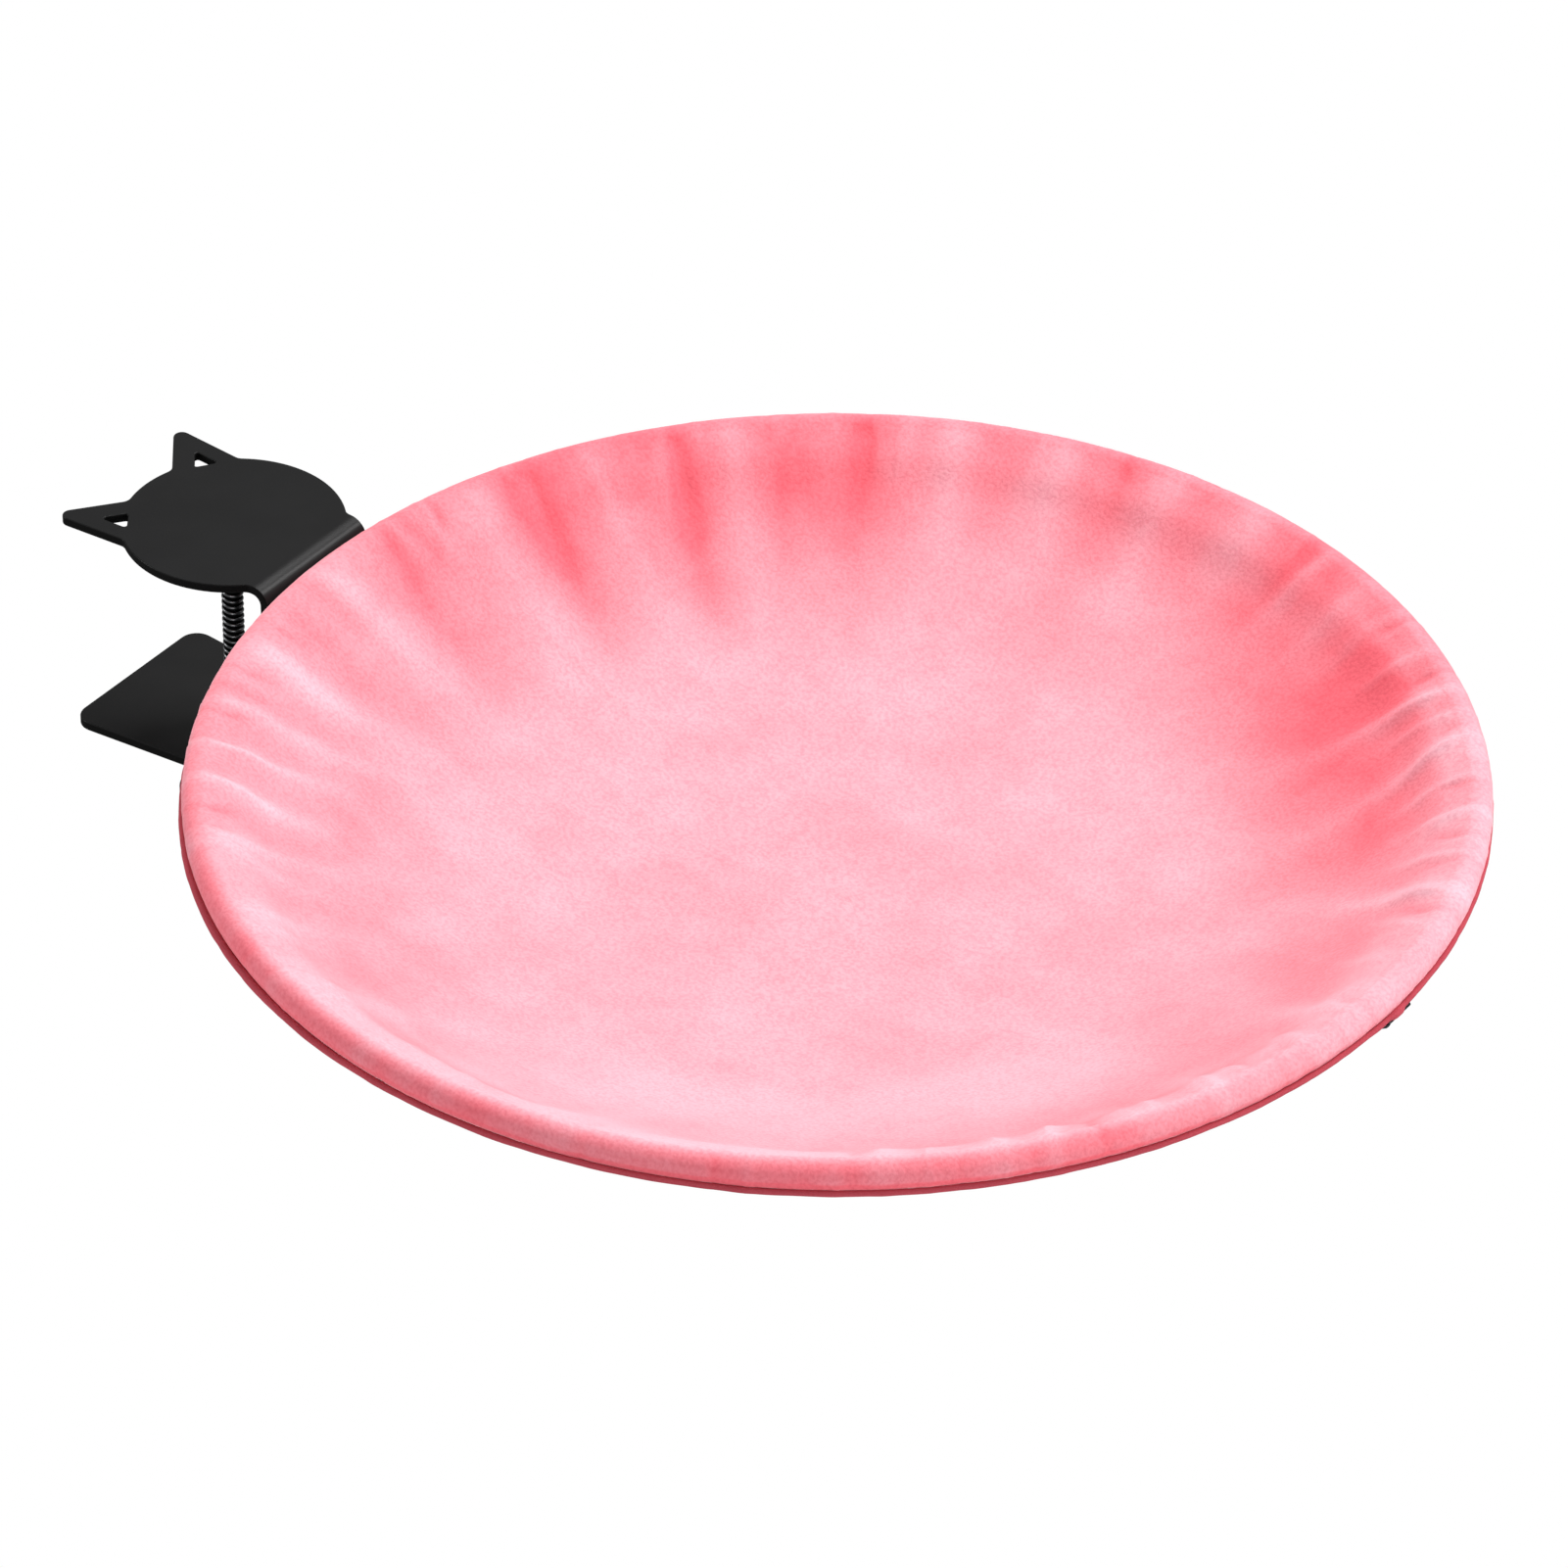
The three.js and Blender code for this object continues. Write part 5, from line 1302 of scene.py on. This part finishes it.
# %% Piping
PIPING_RADIUS = 223.2
PIPING_HEIGHT = -4.75
PIPING_HALF = 1.15
PIPING_POINTS = 1260
slit_angle = math.asin(SLIT_HALF / PIPING_RADIUS)
angles = np.linspace(-math.pi + slit_angle, math.pi - slit_angle, PIPING_POINTS)
pulled = fold_height(angles, np.full(PIPING_POINTS, 223.0), np.zeros(PIPING_POINTS), small_folds, 0.5)
uneven = value_noise(angles * 38, angles * 0, 31)
loose = np.exp(-(degrees_off(np.degrees(angles), 236) / 26) ** 2)
by_the_slider = np.exp(-((np.degrees(angles) - 2.75) / 0.9) ** 4)
piping = ring_piece("rim_piping_cord", capped(swept_rings(
    angles,
    PIPING_RADIUS + 0.08 * uneven + 0.3 * (pulled - pulled.mean()) + 0.8 * loose + 0.4 * by_the_slider,
    PIPING_HEIGHT + 0.08 * value_noise(angles * 21, angles * 0, 32),
    PIPING_HALF * (1 + 0.04 * uneven) + 0.5 * loose + 0.7 * by_the_slider,
    10,
)), coral_piping)
dressed(piping, "rim_piping", "frame")

# %% [markdown]
# ## Zip
#
# A zip under the rim closes the cover. Its tapes are woven bands that lie flat on the lining, and its chain
# is a row of nylon coils that hook into each other. A place on the zip is given by how far it lies along the
# lining from the chain's middle, how far off the cloth, and by its angle round the hoop.

# %% Places under the rim
ZIP_SETBACK = 4.3
SLIDER_HALF = 5.3
PARKED = math.radians(2.4)
OPENED = math.radians(158.4)
under = np.array(lining_join) - np.array(LINING_EDGE)
under /= np.linalg.norm(under)
under_out = np.array([-under[1], under[0]])
zip_from = PARKED - SLIDER_HALF / HOOP_RADIUS
zip_to = OPENED + SLIDER_HALF / HOOP_RADIUS
print("zip from", round(math.degrees(zip_from), 2), "to", round(math.degrees(zip_to), 2), "degrees")


def under_rim(angle, along, off):
    """Points under the rim, in metres."""
    spot = np.array(LINING_EDGE) + under * (ZIP_SETBACK + along) + under_out * off
    return np.stack([
        HOOP_X + spot[0] * np.cos(angle), spot[0] * np.sin(angle), np.full_like(angle, HOOP_Z + spot[1]),
    ], axis=1) / 1000


def from_section(direction, angle):
    """A direction in the rim's section, as one in space at an angle round the hoop."""
    return np.stack([
        direction[0] * np.cos(angle), direction[0] * np.sin(angle), np.full_like(angle, direction[1]),
    ], axis=-1)


# %% [markdown]
# The slider's body is pulled through by its two flanges, which are waisted between the mouth and the tail, so
# from outside only its two ends stand out past the piping. The flat flanks of the solid get cross cuts first,
# because a flank with no points on its way can't be drawn in.

# %% Slider with a waist
def waist(work):
    """Draws in the outer flank of the slider between its ends."""
    foot_point = Vector(under_rim(np.array([PARKED]), 0.0, 0.0)[0])
    lengthwise = Vector((-math.sin(PARKED), math.cos(PARKED), 0))
    outwards, off_cloth = (Vector(from_section(way, PARKED)) for way in (-under, under_out))
    for place in (-3.9, -3.5, -3.1, -2.6, -1.3, 0, 1.3, 2.6, 3.1, 3.5, 3.9):
        bmesh.ops.bisect_plane(
            work, geom=[*work.verts, *work.edges, *work.faces],
            plane_co=foot_point + lengthwise * place / 1000, plane_no=lengthwise,
        )
    for vert in work.verts:
        spot = (vert.co - foot_point) * 1000
        drawn = (1 - ramp(abs(spot.dot(lengthwise)), 2.6, 4.2)) * ramp(spot.dot(outwards), 2.5, 3.3)
        vert.co -= outwards * drawn * (0.6 + 1.1 * ramp(spot.dot(off_cloth), 1.2, 3.6)) / 1000


rounded("zip_slider", 0.00018, dark_nickel, reshape=waist)


# %% Tapes
def tape(name, start, end, node):
    """A woven band from one distance along the lining to another."""
    angles = np.linspace(zip_from - 2 / HOOP_RADIUS, zip_to + 2 / HOOP_RADIUS, 500)
    edge = [(start, 0.3), (start, 0.85), (start + 0.25, 0.92), (end - 0.25, 0.92), (end, 0.85), (end, 0.3)]
    rings = np.stack([under_rim(angles, along, off) for along, off in edge], axis=1)
    rings[:, 1:5, 2] += (0.05 * np.sin(angles * 190) / 1000 * 0.6)[:, None]
    band = ring_piece(name, capped(rings), zip_cloth)
    band.data.set_sharp_from_angle(angle=math.radians(40))
    flat_uv(band)
    dressed(band, node, "frame")
    return band


inner_tape = tape("zip_tape_inner_woven", 2.3, 7.3, "zip_tape_inner")
outer_tape = tape("zip_tape_outer_woven", -4.0, -2.3, "zip_tape_outer")


# %% [markdown]
# ### Coils and stitches
#
# Hundreds of small shapes follow one path here, which is what Geometry Nodes do best. A path is a line of
# points with a direction that says which way is off the cloth. The tree turns it into a curve, spaces points
# along it, lays one small shape on each and turns it along the path.

# %% A path for the trees
def path_piece(name, points, off_cloth):
    """A line of points, with the direction off the cloth stored on each."""
    edges = [(i, i + 1) for i in range(len(points) - 1)]
    mesh = bpy.data.meshes.new(name)
    mesh.from_pydata([tuple(p) for p in points], edges, [])
    stored = mesh.attributes.new("off_cloth", "FLOAT_VECTOR", "POINT")
    stored.data.foreach_set("vector", np.asarray(off_cloth, np.float32).ravel())
    piece = bpy.data.objects.new(name, mesh)
    scene.collection.objects.link(piece)
    return piece


# %% Lay a shape along a path
def laid_tree(name, sizes, shape):
    """A tree that lays a small shape at even steps along a path. The function shape makes it in the tree."""
    def lay(tree, given):
        curve = add_node(tree, "GeometryNodeMeshToCurve", {0: given["Geometry"]})
        spaced = add_node(tree, "GeometryNodeResampleCurve", {
            "Curve": curve.outputs[0], "Length": given["Step"],
        }, mode="LENGTH")
        tangent = add_node(tree, "GeometryNodeInputTangent")
        along = add_node(tree, "FunctionNodeAlignRotationToVector", {"Vector": tangent.outputs[0]}, axis="X")
        stored = add_node(
            tree, "GeometryNodeInputNamedAttribute", {"Name": "off_cloth"}, data_type="FLOAT_VECTOR",
        )
        upward = add_node(tree, "FunctionNodeAlignRotationToVector", {
            "Rotation": along.outputs[0], "Vector": stored.outputs[0],
        }, axis="Z", pivot_axis="X")
        laid = add_node(tree, "GeometryNodeInstanceOnPoints", {
            "Points": spaced.outputs[0], "Instance": shape(tree, given), "Rotation": upward.outputs[0],
        })
        return laid.outputs[0]

    return geometry_tree(name, {"Step": 0.003, **sizes}, lay)


# %% Small shapes
def stitch_shape(tree, given):
    """A short rounded thread, sunk a little into the cloth."""
    ball = add_node(tree, "GeometryNodeMeshUVSphere", {"Segments": 8, "Rings": 5, "Radius": 1.0})
    size = add_node(tree, "ShaderNodeCombineXYZ", {
        "X": given["Half Length"], "Y": given["Half Width"], "Z": given["Half Width"],
    })
    sized = add_node(tree, "GeometryNodeTransform", {"Geometry": ball.outputs[0], "Scale": size.outputs[0]})
    return sized.outputs[0]


def coil_shape(tree, given):
    """One turn of the nylon coil: a round bar across the chain with a wider head."""
    bar = add_node(tree, "GeometryNodeMeshCylinder", {
        "Vertices": 6, "Radius": given["Bar Radius"], "Depth": given["Bar Length"],
    })
    lying = add_node(tree, "GeometryNodeTransform", {
        "Geometry": bar.outputs[0], "Rotation": (math.pi / 2, 0, math.radians(14)),
    })
    head = add_node(tree, "GeometryNodeMeshUVSphere", {
        "Segments": 6, "Rings": 4, "Radius": given["Head Radius"],
    })
    return joined(tree, lying.outputs[0], head.outputs[0])


stitch_tree = laid_tree("stitches", {"Half Length": 0.00125, "Half Width": 0.00024}, stitch_shape)
coil_tree = laid_tree("coils", {
    "Bar Radius": 0.0003, "Bar Length": 0.0024, "Head Radius": 0.00042,
}, coil_shape)

# %% Chain of the zip
CHAIN_RADIUS = 0.2178
zip_angles = np.linspace(zip_from, zip_to, 700)
off_rim = from_section(under_out, zip_angles)
rows = []
for row, (along, shift) in enumerate(((-0.75, 0.0), (0.75, 0.00065))):
    path = path_piece(f"coil_row_{row}", under_rim(zip_angles + shift / CHAIN_RADIUS, along, 1.15), off_rim)
    rows.append(run_tree(path, coil_tree, Step=0.0013, Finish=zip_nylon))
work = bmesh.new()
for row in rows:
    work.from_mesh(row.data)
chain = rows[0]
work.to_mesh(chain.data)
work.free()
bpy.data.objects.remove(rows[1])
chain.name = "zip_coils"
dressed(chain, "zip_chain", "frame")

# %% Stitches on the tapes
for name, along in (("zip_stitches_inner", 6.4), ("zip_stitches_near", 3.4), ("zip_stitches_outer", -3.15)):
    path = path_piece(name, under_rim(zip_angles, along, 0.98), off_rim)
    seam = run_tree(path, stitch_tree, Step=0.0031, Finish=sewing_thread)
    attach(seam, "frame")
    print(name, len(seam.data.polygons), "faces")

# %% [markdown]
# ## What the cloths were cut from
#
# A cloth that is sewn and gathered no longer shows how large it was on the cutting table. Both cloths were
# cut as discs, as wide as their path from hem to hem plus the allowance that is turned in.

# %% [markdown]
# ## Finish of the floor
#
# The camera sees the floor as pure white. What is given here is the paint that the light meets, and it
# decides how much light comes back up to the underside of the bowl.

# %% Finish of the floor
floor_finish = grained(
    "floor_paint", (0.42, 0.42, 0.42), (0.46, 0.46, 0.46), 0.002, 0.00005, (0.8, 0.9), Specular_IOR_Level=0.1,
)
floor_nodes = floor_finish.node_tree.nodes
white_when_seen(
    floor_finish.node_tree, floor_nodes["Material Output"], floor_nodes["Principled BSDF"].outputs["BSDF"]
)
floor.data.materials.append(floor_finish)

# %% [markdown]
# ## Sizes
#
# Both boxes, of the solids and of the dressed hammock, are printed, so that they can be compared.

# %% Sizes and the end
dressed_box = [list(corner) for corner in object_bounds()]
for name, box in (("solids", solids_box), ("dressed", dressed_box)):
    print(name, [[round(value, 4) for value in corner] for corner in box])
